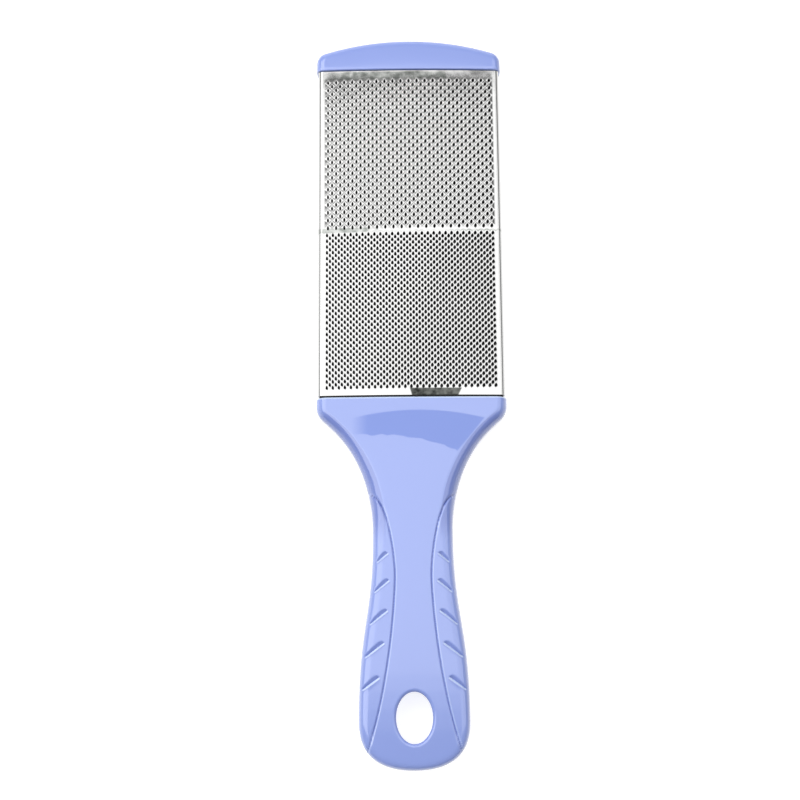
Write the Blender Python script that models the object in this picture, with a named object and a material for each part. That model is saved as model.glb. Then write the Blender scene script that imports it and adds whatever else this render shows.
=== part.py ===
"""A foot rasp: a flat paddle file with a hollow plastic handle, a steel rasp sleeve and an end cap.

The tool lies on its back. X runs across it, Y towards the tip of the head, and Z up through the rasp face.
Its origin is the middle of its length and width, on the surface that it lies on. Metres throughout.
"""

import math

import bmesh
import bpy
import numpy as np
from mathutils import Matrix, Vector
from mathutils.geometry import interpolate_bezier

MM = 0.001
WELD = 0.001 * MM

# Whole tool
PARTING_Z = 5.8 * MM
SEAM_GAP = 0.1 * MM
SEAT_GAP = 0.3 * MM
GLUE_LINE = 0.1 * MM
CUT_OVERRUN = 3.0 * MM

# Head
HEAD_WIDTH = 64.0 * MM
HEAD_LENGTH = 118.4 * MM
HEAD_THICKNESS = 9.4 * MM
HEAD_EDGE_R = 2.4 * MM
CROWN_SAG = 0.9 * MM
SHEET = 0.5 * MM
FOLD_SEAM = 0.4 * MM

# Rasp teeth, in staggered half rows down the head
COARSE_PITCH = 2.85 * MM
COARSE_DROP = 1.405 * MM
COARSE_COLUMNS = 41
COARSE_ROWS = 39
COARSE_RISE = 0.38 * MM
FINE_PITCH = 2.06 * MM
FINE_DROP = 1.042 * MM
FINE_COLUMNS = 57
FINE_ROWS = 54
FINE_RISE = 0.28 * MM
FIRST_ROW_DROP = 4.15 * MM
ZONE_BAND = 2.52 * MM
PIT_DEPTH = 0.28 * MM
TOOTH_LEAN_SHARE = 0.34

# Emery pad on the back of the head
PAD_SIDE_MARGIN = 5.0 * MM
PAD_END_MARGIN = 5.2 * MM
PAD_CORNER_R = 4.0 * MM
PAD_THICKNESS = 1.0 * MM

# Core frame inside the sleeve
CORE_RIM = 2.2 * MM
CORE_WEB = 1.6 * MM
CORE_RIB = 1.4 * MM
CORE_BAY_COLUMNS = 3
CORE_BAY_ROWS = 6
TANG_WIDTH = 46.0 * MM
TANG_END_WIDTH = 17.0 * MM
TANG_LENGTH = 31.0 * MM
TANG_THICKNESS = 4.6 * MM
SPIGOT_LENGTH = 3.6 * MM
SPIGOT_COLUMNS = 4
SPIGOT_WALL = 1.6 * MM

# End cap
CAP_LENGTH = 11.6 * MM
CAP_SIDE_STEP = 0.65 * MM
CAP_FRONT_STEP = 0.6 * MM
CAP_BACK_Z = 0.4 * MM
CAP_ARCH_R = 103.7 * MM
CAP_CORNER_R = 4.2 * MM
CAP_EDGE = 3.2 * MM
CAP_WALL = 2.0 * MM

# Handle outline, seen from the front. A drop is down from the shoulder face, a rise up from the butt
HANDLE_LENGTH = 123.9 * MM
SHOULDER_SIDE_STEP = 0.5 * MM
SHOULDER_RIM = 2.9 * MM
SHOULDER_CORNER_R = 6.2 * MM
RIM_CHAMFER = 0.5 * MM
FLARE_ANGLE = math.radians(45.0)
FLARE_TOP_REACH = 3.9 * MM
FLARE_WAIST_REACH = 27.2 * MM
WAIST_WIDTH = 27.0 * MM
WAIST_DROP = 47.1 * MM
WAIST_SWELL_REACH = 27.0 * MM
SWELL_WIDTH = 36.7 * MM
SWELL_RISE = 16.3 * MM
SWELL_WAIST_REACH = 31.0 * MM
SWELL_END_REACH = 4.6 * MM
END_REACH = 18.05 * MM

# Handle section
SHOULDER_FRONT_STEP = 0.8 * MM
SHOULDER_BACK_Z = 0.4 * MM
GRIP_FRONT_Z = 14.6 * MM
GRIP_DROP = 76.4 * MM
END_FRONT_Z = 11.6 * MM
END_BACK_Z = 1.4 * MM
SHOULDER_EDGE = 3.6 * MM
GRIP_EDGE = 5.6 * MM
END_EDGE = 4.2 * MM
SIDE_LAND = 1.0 * MM
HANDLE_CROWN = 0.7 * MM
HANDLE_WALL = 2.2 * MM
RIB_THICKNESS = 1.4 * MM
RIB_PLACE_SHARES = (0.14, 0.47, 0.60)

# Grooves that bound the centre panel of the grip
GROOVE_R = 0.62 * MM
GROOVE_WAIST_X = 6.05 * MM
GROOVE_WAIST_DROP = 60.6 * MM
GROOVE_TOP_DROP = 33.7 * MM
GROOVE_TOP_REACH = 6.7 * MM
GROOVE_WAIST_UP_REACH = 5.0 * MM
GROOVE_WAIST_DOWN_REACH = 7.9 * MM
GROOVE_END_RISE = 5.2 * MM
GROOVE_END_REACH_X = 7.4 * MM
GROOVE_END_REACH_Y = 20.5 * MM
GROOVE_WRAP = 2.5 * MM

# Slanted grip slots of each side panel
SLOT_FIRST_DROP = 55.3 * MM
SLOT_LAST_DROP = 95.9 * MM
SLOT_PLACE_SHARE = 0.56
SLOT_ANGLE = math.radians(40.0)
SLOT_LENGTH_SHARES = (0.68, 0.79, 0.86, 0.88, 0.85)
SLOT_SCOOP = 1.6 * MM
SLOT_WALL = 0.6 * MM
SLOT_DEPTH = 0.9 * MM

# Hang hole
HANG_WIDTH = 12.0 * MM
HANG_LENGTH = 16.6 * MM
HANG_RISE = 16.95 * MM
HANG_FILLET = 1.7 * MM
HANG_FILLET_TURN = math.radians(72.0)
HANG_WALL = 2.0 * MM

# Locating pins of the handle halves
PIN_R = 1.5 * MM
PIN_PLAY = 0.2 * MM
PIN_SPACING = 20.0 * MM
PIN_DROP = 11.0 * MM
PIN_BOSS_R = 3.2 * MM
PIN_RUN = 1.6 * MM

# Facets
EDGE_STEPS = 4
CROWN_STEPS = 2
CORNER_STEPS = 3
CURVE_STEPS = 8
INNER_STEPS = 2
INNER_CURVE_STEPS = 4
GROOVE_STEPS = 9
GROOVE_SIDES = 6
SLOT_SEGMENTS = 6
SLOT_RINGS = 5
HANG_STEPS = 22
FILLET_STEPS = 2
PIN_SIDES = 10
EDGE_LINES = 8

# Places that follow from the sizes above
TOOL_LENGTH = HANDLE_LENGTH + HEAD_LENGTH + CAP_LENGTH
TIP_Y = TOOL_LENGTH / 2
BUTT_Y = -TOOL_LENGTH / 2
CAP_FACE_Y = TIP_Y - CAP_LENGTH
SHOULDER_Y = BUTT_Y + HANDLE_LENGTH
WAIST_Y = SHOULDER_Y - WAIST_DROP
SWELL_Y = BUTT_Y + SWELL_RISE
GRIP_Y = SHOULDER_Y - GRIP_DROP
GROOVE_TOP_Y = SHOULDER_Y - GROOVE_TOP_DROP
GROOVE_WAIST_Y = SHOULDER_Y - GROOVE_WAIST_DROP
GROOVE_END_Y = BUTT_Y + GROOVE_END_RISE
SLOT_FIRST_Y = SHOULDER_Y - SLOT_FIRST_DROP
SLOT_LAST_Y = SHOULDER_Y - SLOT_LAST_DROP
HANG_Y = BUTT_Y + HANG_RISE
HEAD_BACK_Z = PAD_THICKNESS + GLUE_LINE
HEAD_FRONT_Z = HEAD_BACK_Z + HEAD_THICKNESS
HEAD_HALF = HEAD_WIDTH / 2
CAP_WIDTH = HEAD_WIDTH + 2 * CAP_SIDE_STEP
SHOULDER_WIDTH = HEAD_WIDTH + 2 * SHOULDER_SIDE_STEP
PAD_WIDTH = HEAD_WIDTH - 2 * PAD_SIDE_MARGIN
PAD_LENGTH = HEAD_LENGTH - 2 * PAD_END_MARGIN
CROWN_HALF = HEAD_HALF - HEAD_EDGE_R
SHEET_START_Y = SHOULDER_Y + SEAT_GAP
SHEET_END_Y = CAP_FACE_Y - SEAT_GAP
CAP_FRONT_Z = HEAD_FRONT_Z + CAP_FRONT_STEP
SHOULDER_FRONT_Z = HEAD_FRONT_Z + SHOULDER_FRONT_STEP


def clear_scene():
    for item in list(bpy.data.objects):
        bpy.data.objects.remove(item, do_unlink=True)


def make_material(name, colour, roughness, metallic):
    material = bpy.data.materials.new(name)
    material.use_nodes = True
    shader = material.node_tree.nodes["Principled BSDF"]
    shader.inputs["Base Color"].default_value = (*colour, 1.0)
    shader.inputs["Roughness"].default_value = roughness
    shader.inputs["Metallic"].default_value = metallic
    return material


def finish_mesh(name, shape, smooth_angle=math.radians(32.0)):
    """Turns a bmesh into an object at the origin, with flat faces that point out."""
    bmesh.ops.remove_doubles(shape, verts=shape.verts, dist=WELD)
    bmesh.ops.triangulate(shape, faces=shape.faces)
    bmesh.ops.recalc_face_normals(shape, faces=shape.faces)
    mesh = bpy.data.meshes.new(name)
    shape.to_mesh(mesh)
    shape.free()
    mesh.shade_smooth()
    mesh.set_sharp_from_angle(angle=smooth_angle)
    thing = bpy.data.objects.new(name, mesh)
    bpy.context.collection.objects.link(thing)
    return thing


def loft(name, rings, close_last=True):
    """Skins a row of closed rings that have the same number of points, and closes the ends."""
    shape = bmesh.new()
    loops = [[shape.verts.new(point) for point in ring] for ring in rings]
    count = len(rings[0])
    for near, far in zip(loops, loops[1:]):
        for i in range(count):
            j = (i + 1) % count
            shape.faces.new((near[i], near[j], far[j], far[i]))
    shape.faces.new(loops[0])
    if close_last:
        shape.faces.new(loops[-1])
    return finish_mesh(name, shape)


def block(name, low, high):
    """A plain box between two corners."""
    (x0, y0, z0), (x1, y1, z1) = low, high
    return loft(name, [[(x0, y, z0), (x1, y, z0), (x1, y, z1), (x0, y, z1)] for y in (y0, y1)])


def post(name, radius, x, y, low_z, high_z, sides=PIN_SIDES):
    """A round post along Z."""
    turns = [2 * math.pi * (k + 0.5) / sides for k in range(sides)]
    circle = [(x + radius * math.cos(a), y + radius * math.sin(a)) for a in turns]
    return loft(name, [[(px, py, z) for px, py in circle] for z in (low_z, high_z)])


def combine(target, label, helpers, operation="DIFFERENCE"):
    """Adds one Boolean with a group of helper objects, which are hidden, and welds the points it doubles."""
    group = bpy.data.collections.new(f"{target.name} {label}")
    bpy.context.scene.collection.children.link(group)
    for helper in helpers:
        helper.hide_render = True
        helper.display_type = "WIRE"
        bpy.context.collection.objects.unlink(helper)
        group.objects.link(helper)
    step = target.modifiers.new(label, "BOOLEAN")
    step.operation = operation
    step.operand_type = "COLLECTION"
    step.collection = group
    step.solver = "EXACT"
    target.modifiers.new(f"{label} weld", "WELD").merge_threshold = WELD


def bezier(start, start_handle, end_handle, end, steps):
    corners = [Vector((x, y, 0)) for x, y in (start, start_handle, end_handle, end)]
    return [(point.x, point.y) for point in interpolate_bezier(*corners, steps + 1)]


def ease(share):
    """A smooth step from 0 to 1."""
    share = min(max(share, 0), 1)
    return share * share * (3 - 2 * share)


def handle_outline(corner_steps=CORNER_STEPS, curve_steps=CURVE_STEPS):
    """The right side of the handle seen from the front, from the shoulder face to the middle of its end."""
    half = SHOULDER_WIDTH / 2
    rim_y = SHOULDER_Y - SHOULDER_RIM
    points = [(half, SHOULDER_Y - RIM_CHAMFER)]
    for k in range(corner_steps + 1):
        turn = FLARE_ANGLE * k / corner_steps
        x = half - SHOULDER_CORNER_R * (1 - math.cos(turn))
        points.append((x, rim_y - SHOULDER_CORNER_R * math.sin(turn)))
    corner = points[-1]
    waist = (WAIST_WIDTH / 2, WAIST_Y)
    swell = (SWELL_WIDTH / 2, SWELL_Y)
    leave_x = corner[0] - FLARE_TOP_REACH * math.sin(FLARE_ANGLE)
    leave_y = corner[1] - FLARE_TOP_REACH * math.cos(FLARE_ANGLE)
    flare = bezier(corner, (leave_x, leave_y), (waist[0], waist[1] + FLARE_WAIST_REACH), waist, curve_steps)
    palm = bezier(
        waist,
        (waist[0], waist[1] - WAIST_SWELL_REACH),
        (swell[0], swell[1] + SWELL_WAIST_REACH),
        swell,
        curve_steps,
    )
    end = bezier(
        swell, (swell[0], swell[1] - SWELL_END_REACH), (END_REACH, BUTT_Y), (0, BUTT_Y), curve_steps
    )
    return points + flare[1:] + palm[1:] + end[1:]


def inward_normals(points, turn):
    """Unit normals of an outline that ends level on the centre line. turn is 1 if it runs to the butt."""
    line = np.array(points)
    along = np.gradient(line, axis=0)
    along[0] = (0, -turn)
    along[-1] = (-1, 0)
    along /= np.linalg.norm(along, axis=1)[:, None]
    return np.stack([along[:, 1], -along[:, 0]], axis=1) * turn


OUTLINE = handle_outline()
OUTLINE_LINE = np.array(OUTLINE)


def half_width(y):
    """Half the handle's width at a place along it."""
    return float(np.interp(-y, -OUTLINE_LINE[:, 1], OUTLINE_LINE[:, 0]))


def inset(x, y):
    """How far a place lies inside the handle's outline."""
    here = np.array((abs(x), y))
    start, run = OUTLINE_LINE[:-1], np.diff(OUTLINE_LINE, axis=0)
    share = np.clip(((here - start) * run).sum(axis=1) / (run**2).sum(axis=1), 0, 1)
    return float(np.linalg.norm(start + run * share[:, None] - here, axis=1).min())


def height_along(y, shoulder_z, grip_z, end_z):
    """A height that eases from the shoulder to the grip and then falls away to the end."""
    if y > GRIP_Y:
        return shoulder_z + (grip_z - shoulder_z) * ease((SHOULDER_Y - y) / (SHOULDER_Y - GRIP_Y))
    share = min((GRIP_Y - y) / (GRIP_Y - BUTT_Y), 1)
    return end_z + (grip_z - end_z) * math.cos(share * math.pi / 2)


def crown_z(side, x, y):
    """The crowned middle of the handle's front (side 1) or back (side -1)."""
    if side > 0:
        middle = height_along(y, SHOULDER_FRONT_Z, GRIP_FRONT_Z, END_FRONT_Z)
    else:
        middle = height_along(y, SHOULDER_BACK_Z, 0, END_BACK_Z)
    return middle - side * HANDLE_CROWN * (x / half_width(y if y > SWELL_Y else SWELL_Y)) ** 2


def edge_width(y):
    """How far the rounding of the handle's edge reaches in from its outline."""
    if y > GRIP_Y:
        share = ease((SHOULDER_Y - y) / (SHOULDER_Y - WAIST_Y))
        return SHOULDER_EDGE + (GRIP_EDGE - SHOULDER_EDGE) * share
    return GRIP_EDGE + (END_EDGE - GRIP_EDGE) * ease((GRIP_Y - y) / (GRIP_Y - BUTT_Y))


def skin_z(side, x, y):
    """The height of the handle's skin at any place inside its outline."""
    land = PARTING_Z + side * SIDE_LAND
    reach = min(inset(x, y) / edge_width(y), 1)
    return land + (crown_z(side, x, y) - land) * math.sqrt(1 - (1 - reach) ** 2)


def skin_row(point, normal, edge, land_z, top_z, edge_steps, crown_steps):
    """Points over a rounded and crowned skin, from the right side of the outline to the left."""
    right = []
    for k in range(edge_steps + 1):
        turn = math.pi / 2 * k / edge_steps
        x = max(point[0] + normal[0] * edge * (1 - math.cos(turn)), 0)
        y = point[1] + normal[1] * edge * (1 - math.cos(turn))
        right.append((x, y, land_z + (top_z(x, y) - land_z) * math.sin(turn)))
    x, y, _ = right[-1]
    crown = [(x * (1 - 2 * k / crown_steps), y) for k in range(1, crown_steps)]
    left = [(-px, py, pz) for px, py, pz in reversed(right)]
    return right + [(px, py, top_z(px, py)) for px, py in crown] + left


def handle_body(side, wall=0.0):
    """One half of the handle as a solid, or with a wall the space inside it, open at the parting plane."""
    coarse = wall > 0
    steps = (INNER_STEPS, INNER_STEPS) if coarse else (EDGE_STEPS, CROWN_STEPS)
    outline = handle_outline(INNER_STEPS, INNER_CURVE_STEPS) if coarse else OUTLINE
    normals = inward_normals(outline, 1)
    flat_z = PARTING_Z - side * CUT_OVERRUN if coarse else PARTING_Z + side * SEAM_GAP / 2
    land_z = PARTING_Z + side * SIDE_LAND
    rings = []
    for point, normal in zip(outline, normals):
        moved = (max(point[0] + normal[0] * wall, 0), point[1] + normal[1] * wall)
        if rings == [] and coarse:
            moved = (moved[0], SHOULDER_Y - wall)

        def top(x, y):
            return crown_z(side, x, y) - side * wall

        row = skin_row(moved, normal, edge_width(point[1]), land_z, top, *steps)
        rings.append([(moved[0], moved[1], flat_z), *row, (-moved[0], moved[1], flat_z)])
    if not coarse:
        rings.insert(0, chamfer_ring(rings[0], flat_z))
    name = f"{'front' if side > 0 else 'back'} {'hollow' if coarse else 'body'}"
    return loft(name, rings, close_last=False)


def chamfer_ring(ring, flat_z):
    """The shoulder's end face, drawn in from the ring behind it on all sides but the parting plane."""
    tall = max(abs(z - flat_z) for _, _, z in ring)
    across = max(x for x, _, _ in ring)
    in_x, in_z = 1 - RIM_CHAMFER / across, 1 - RIM_CHAMFER / tall
    return [(x * in_x, SHOULDER_Y, flat_z + (z - flat_z) * in_z) for x, _, z in ring]


def tube(name, path, radius, sides):
    """A round bar along a path, which may be upright only at its ends."""
    line = np.array(path)
    along = np.gradient(line, axis=0)
    along /= np.linalg.norm(along, axis=1)[:, None]
    across = np.stack([along[:, 1], -along[:, 0], np.zeros(len(line))], axis=1)
    across[0], across[-1] = across[1], across[-2]
    across /= np.linalg.norm(across, axis=1)[:, None]
    over = np.cross(across, along)
    rings = []
    for centre, side, top in zip(line, across, over):
        turns = [2 * math.pi * k / sides for k in range(sides)]
        rings.append([tuple(centre + radius * (side * math.cos(a) + top * math.sin(a))) for a in turns])
    return loft(name, rings)


def groove_line():
    """The right groove seen from the front: in from the edge, down past the waist and out to the edge."""
    top = (half_width(GROOVE_TOP_Y), GROOVE_TOP_Y)
    waist = (GROOVE_WAIST_X, GROOVE_WAIST_Y)
    end = (half_width(GROOVE_END_Y), GROOVE_END_Y)
    upper = bezier(
        top,
        (top[0] - GROOVE_TOP_REACH, top[1]),
        (waist[0], waist[1] + GROOVE_WAIST_UP_REACH),
        waist,
        GROOVE_STEPS,
    )
    lower = bezier(
        waist,
        (waist[0], waist[1] - GROOVE_WAIST_DOWN_REACH),
        (end[0] - GROOVE_END_REACH_X, end[1] + GROOVE_END_REACH_Y),
        end,
        GROOVE_STEPS,
    )
    return upper + lower[1:]


def groove_cutter(hand):
    """A bar that follows the front skin along a groove and turns down the side at both ends."""
    line = groove_line()
    path = [(hand * x, y, skin_z(1, x, y)) for x, y in line]
    low_z = PARTING_Z - GROOVE_WRAP
    first, last = path[0], path[-1]
    path = [(first[0], first[1], low_z), *path, (last[0], last[1], low_z)]
    return tube(f"groove {'right' if hand > 0 else 'left'}", path, GROOVE_R, GROOVE_SIDES)


def groove_x(y):
    line = np.array(groove_line())
    return float(np.interp(-y, -line[:, 1], line[:, 0]))


def slot_cutter(hand, number):
    """A scoop that falls gently from its upper side and ends at a steep lower wall."""
    count = len(SLOT_LENGTH_SHARES)
    y = SLOT_FIRST_Y + (SLOT_LAST_Y - SLOT_FIRST_Y) * number / (count - 1)
    panel = half_width(y) - groove_x(y)
    x = groove_x(y) + panel * SLOT_PLACE_SHARE
    probe = HANDLE_CROWN
    slope_x = (skin_z(1, x + probe, y) - skin_z(1, x - probe, y)) / (2 * probe)
    slope_y = (skin_z(1, x, y + probe) - skin_z(1, x, y - probe)) / (2 * probe)
    normal = Vector((-slope_x * hand, -slope_y, 1)).normalized()
    along = Vector((hand * math.cos(SLOT_ANGLE), -math.sin(SLOT_ANGLE), 0))
    along = (along - normal * along.dot(normal)).normalized()
    over = normal.cross(along) * hand
    centre = Vector((hand * x, y, skin_z(1, x, y)))
    half_length = panel * SLOT_LENGTH_SHARES[number] / 2
    shape = bmesh.new()
    bmesh.ops.create_uvsphere(shape, u_segments=SLOT_SEGMENTS, v_segments=SLOT_RINGS, radius=1)
    for vert in shape.verts:
        a, b, c = vert.co
        reach = SLOT_SCOOP if b > 0 else SLOT_WALL
        vert.co = centre + along * a * half_length + over * b * reach + normal * c * SLOT_DEPTH
    return finish_mesh(f"slot {'right' if hand > 0 else 'left'} {number}", shape)


def ellipse(grow):
    turns = [2 * math.pi * (k + 0.5) / HANG_STEPS for k in range(HANG_STEPS)]
    wide, tall = HANG_WIDTH / 2 + grow, HANG_LENGTH / 2 + grow
    return [(wide * math.cos(a), HANG_Y + tall * math.sin(a)) for a in turns]


def hang_cutter(side):
    """The hang hole from the parting plane out, flared by a fillet where it meets the skin."""
    rings = [[(x, y, PARTING_Z - side * CUT_OVERRUN) for x, y in ellipse(0)]]
    for k in range(FILLET_STEPS + 1):
        turn = HANG_FILLET_TURN * k / FILLET_STEPS
        drop = HANG_FILLET * (1 - math.sin(turn))
        grown = ellipse(HANG_FILLET * (1 - math.cos(turn)))
        rings.append([(x, y, skin_z(side, x, y) - side * drop) for x, y in grown])
    lift = HANG_FILLET / 4
    grown = ellipse(HANG_FILLET * (1 - math.cos(HANG_FILLET_TURN)) + lift * math.tan(HANG_FILLET_TURN))
    rings.append([(x, y, skin_z(side, x, y) + side * lift) for x, y in grown])
    return loft(f"hang hole {side}", rings)


def tang_ring(grow, y, width):
    half, tall = width / 2 + grow, TANG_THICKNESS / 2 + grow
    low, high = PARTING_Z - tall, PARTING_Z + tall
    return [(-half, y, low), (half, y, low), (half, y, high), (-half, y, high)]


def tang_solid(name, start_y, grow):
    """The tang that the handle halves trap, narrowing down the flare. grow adds a clearance all round."""
    end_y = SHOULDER_Y - TANG_LENGTH - grow
    slope = (TANG_WIDTH - TANG_END_WIDTH) / TANG_LENGTH
    start_width = TANG_WIDTH + slope * (start_y - SHOULDER_Y)
    end_width = TANG_WIDTH + slope * (end_y - SHOULDER_Y)
    return loft(name, [tang_ring(grow, start_y, start_width), tang_ring(grow, end_y, end_width)])


def pin_places():
    """Two pins through the tang, and one down the grip between the ribs."""
    tang_y = SHOULDER_Y - PIN_DROP
    grip_y = HANG_Y + HANG_LENGTH / 2 + HANG_WALL + PIN_BOSS_R * 2
    return [(-PIN_SPACING / 2, tang_y), (PIN_SPACING / 2, tang_y), (0, grip_y)]


def rib_places():
    return [SHOULDER_Y + (BUTT_Y - SHOULDER_Y) * share for share in RIB_PLACE_SHARES]


def handle_hollow(side):
    """The space inside a handle half, less its ribs, its pin bosses and the collar of the hang hole."""
    hollow = handle_body(side, HANDLE_WALL)
    low, high = sorted((PARTING_Z - side * CUT_OVERRUN * 2, PARTING_Z + side * GRIP_FRONT_Z))
    kept = [loft(f"collar {side}", [[(x, y, z) for x, y in ellipse(HANG_WALL)] for z in (low, high)])]
    for number, (x, y) in enumerate(pin_places()):
        kept.append(post(f"boss {side} {number}", PIN_BOSS_R, x, y, low, high))
    for number, y in enumerate(rib_places()):
        near, far = y - RIB_THICKNESS / 2, y + RIB_THICKNESS / 2
        kept.append(block(f"rib {side} {number}", (-SHOULDER_WIDTH, near, low), (SHOULDER_WIDTH, far, high)))
    combine(hollow, "kept inside", kept)
    return hollow


def handle_shell(side, material):
    """A handle half: the body, hollowed, slotted for the tang and cut by the hang hole and the grooves."""
    shell = handle_body(side)
    shell.name = "handle_front_shell" if side > 0 else "handle_back_shell"
    shell.data.materials.append(material)
    tang_slot = tang_solid(f"tang slot {side}", SHOULDER_Y + CUT_OVERRUN, SEAT_GAP)
    combine(shell, "inside", [handle_hollow(side), tang_slot])
    low_z = PARTING_Z - TANG_THICKNESS / 2 - PIN_RUN
    if side > 0:
        high_z = PARTING_Z + TANG_THICKNESS / 2 + PIN_R
        pins = [post(f"pin {n}", PIN_R, x, y, low_z, high_z) for n, (x, y) in enumerate(pin_places())]
        combine(shell, "pins", pins, "UNION")
    cuts = [hang_cutter(side)]
    if side < 0:
        for number, (x, y) in enumerate(pin_places()):
            radius = PIN_R + PIN_PLAY
            cuts.append(post(f"socket {number}", radius, x, y, low_z - SEAT_GAP, PARTING_Z + CUT_OVERRUN))
    for hand in (1, -1):
        cuts.append(groove_cutter(hand))
        if side > 0:
            cuts += [slot_cutter(hand, number) for number in range(len(SLOT_LENGTH_SHARES))]
    combine(shell, "skin", cuts)
    return shell


def crown_drop(x):
    return CROWN_SAG * (x / CROWN_HALF) ** 2


def head_section(inner):
    """The folded sheet seen from its end, from one side of the back seam round to the other."""
    depth = inner
    half = HEAD_HALF - depth
    corner = max(HEAD_EDGE_R - depth, SHEET)
    low, high = HEAD_BACK_Z + depth, HEAD_FRONT_Z - depth
    flat = half - corner
    shoulder_z = high - crown_drop(CROWN_HALF)
    right = [(FOLD_SEAM / 2, low)]
    for k in range(CORNER_STEPS + 1):
        turn = math.pi / 2 * k / CORNER_STEPS
        right.append((flat + corner * math.sin(turn), low + corner * (1 - math.cos(turn))))
    for k in range(CORNER_STEPS):
        turn = math.pi / 2 * k / CORNER_STEPS
        right.append((flat + corner * math.cos(turn), shoulder_z - corner * (1 - math.sin(turn))))
    count = 2 * CROWN_STEPS
    shares = [1 - 2 * k / count for k in range(count + 1)]
    crown = [(flat * share, high - CROWN_SAG * share**2) for share in shares]
    left = [(-x, z) for x, z in reversed(right)]
    return right, crown, left


def tooth_zone(columns, rows, pitch, row, rise, first_y):
    """Rows of points over one zone: each tooth is a peak with its own pit just below it.

    Half rows are staggered, so peaks and pits alternate along every level. A pit leans up towards its peak,
    which makes the cutting side of the tooth steep.
    """
    column, level = np.meshgrid(np.arange(columns), np.arange(rows + 1))
    x = (column - (columns - 1) / 2) * pitch / 2
    y = first_y + row * (0.5 - level)
    peak = (column + level) % 2 == 0
    bare = (peak & (level == rows)) | (~peak & (level == 0))
    y = y + np.where(peak | bare, 0, row * TOOTH_LEAN_SHARE)
    z = HEAD_FRONT_Z - crown_drop(x) + np.where(bare, 0, np.where(peak, rise, -PIT_DEPTH))
    return np.stack([x, y, z], axis=2), peak


def stitch(shape, first, second, axis):
    """Fills the strip between two lines of vertices that run the same way along an axis."""
    i = j = 0
    while i < len(first) - 1 or j < len(second) - 1:
        ahead_i = first[i + 1].co[axis] if i < len(first) - 1 else None
        ahead_j = second[j + 1].co[axis] if j < len(second) - 1 else None
        rising = first[-1].co[axis] > first[0].co[axis]
        take_first = ahead_j is None or (ahead_i is not None and (ahead_i < ahead_j) == rising)
        if take_first:
            shape.faces.new((first[i], first[i + 1], second[j]))
            i += 1
        else:
            shape.faces.new((first[i], second[j + 1], second[j]))
            j += 1


def add_zone(shape, points, peak):
    """Four faces to a tooth, with every fold along the pits, so that each peak stands alone."""
    grid = [[shape.verts.new(point) for point in line] for line in points]
    for level in range(len(grid) - 1):
        for column in range(len(grid[0]) - 1):
            top_left, top_right = grid[level][column : column + 2]
            low_left, low_right = grid[level + 1][column : column + 2]
            if peak[level, column]:
                shape.faces.new((top_left, top_right, low_left))
                shape.faces.new((top_right, low_right, low_left))
            else:
                shape.faces.new((top_left, top_right, low_right))
                shape.faces.new((top_left, low_right, low_left))
    return grid


def rasp_sleeve(material):
    """The perforated sheet, folded round the core and butted at the middle of the back."""
    shape = bmesh.new()
    coarse_first = CAP_FACE_Y - FIRST_ROW_DROP
    fine_first = coarse_first - (COARSE_ROWS - 1) * COARSE_DROP - ZONE_BAND
    coarse = add_zone(
        shape, *tooth_zone(COARSE_COLUMNS, COARSE_ROWS, COARSE_PITCH, COARSE_DROP, COARSE_RISE, coarse_first)
    )
    fine = add_zone(shape, *tooth_zone(FINE_COLUMNS, FINE_ROWS, FINE_PITCH, FINE_DROP, FINE_RISE, fine_first))

    right, crown, left = head_section(0)
    near = [shape.verts.new((x, SHEET_START_Y, z)) for x, z in right + crown + left]
    far = [shape.verts.new((x, SHEET_END_Y, z)) for x, z in right + crown + left]
    inner_right, inner_crown, inner_left = head_section(SHEET)
    inner = inner_right + inner_crown + inner_left
    near_in = [shape.verts.new((x, SHEET_START_Y, z)) for x, z in inner]
    far_in = [shape.verts.new((x, SHEET_END_Y, z)) for x, z in inner]
    first, last = len(right), len(right) + len(crown) - 1

    def edge_line(index):
        """The side of the toothed face, split so that its strips have no long slivers."""
        x, _, z = near[index].co
        span = SHEET_START_Y - SHEET_END_Y
        middle = [
            shape.verts.new((x, SHEET_END_Y + span * k / EDGE_LINES, z)) for k in range(1, EDGE_LINES)
        ]
        return [far[index], *middle, near[index]]

    for index, column, outer in ((first, -1, first - 1), (last, 0, last + 1)):
        line = edge_line(index)
        stitch(shape, line, [level[column] for level in coarse] + [level[column] for level in fine], 1)
        stitch(shape, line, [far[outer], near[outer]], 1)
    stitch(shape, list(reversed(far[first : last + 1])), coarse[0], 0)
    stitch(shape, coarse[-1], fine[0], 0)
    stitch(shape, fine[-1], list(reversed(near[first : last + 1])), 0)

    count = len(near)
    for i in range(count - 1):
        if not first - 1 <= i <= last:
            shape.faces.new((near[i], near[i + 1], far[i + 1], far[i]))
        shape.faces.new((near_in[i], near_in[i + 1], far_in[i + 1], far_in[i]))
        shape.faces.new((near[i], near[i + 1], near_in[i + 1], near_in[i]))
        shape.faces.new((far[i], far[i + 1], far_in[i + 1], far_in[i]))
    for i in (0, count - 1):
        shape.faces.new((near[i], far[i], far_in[i], near_in[i]))
    sleeve = finish_mesh("rasp_sleeve", shape)
    sleeve.data.materials.append(material)
    return sleeve


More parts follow.
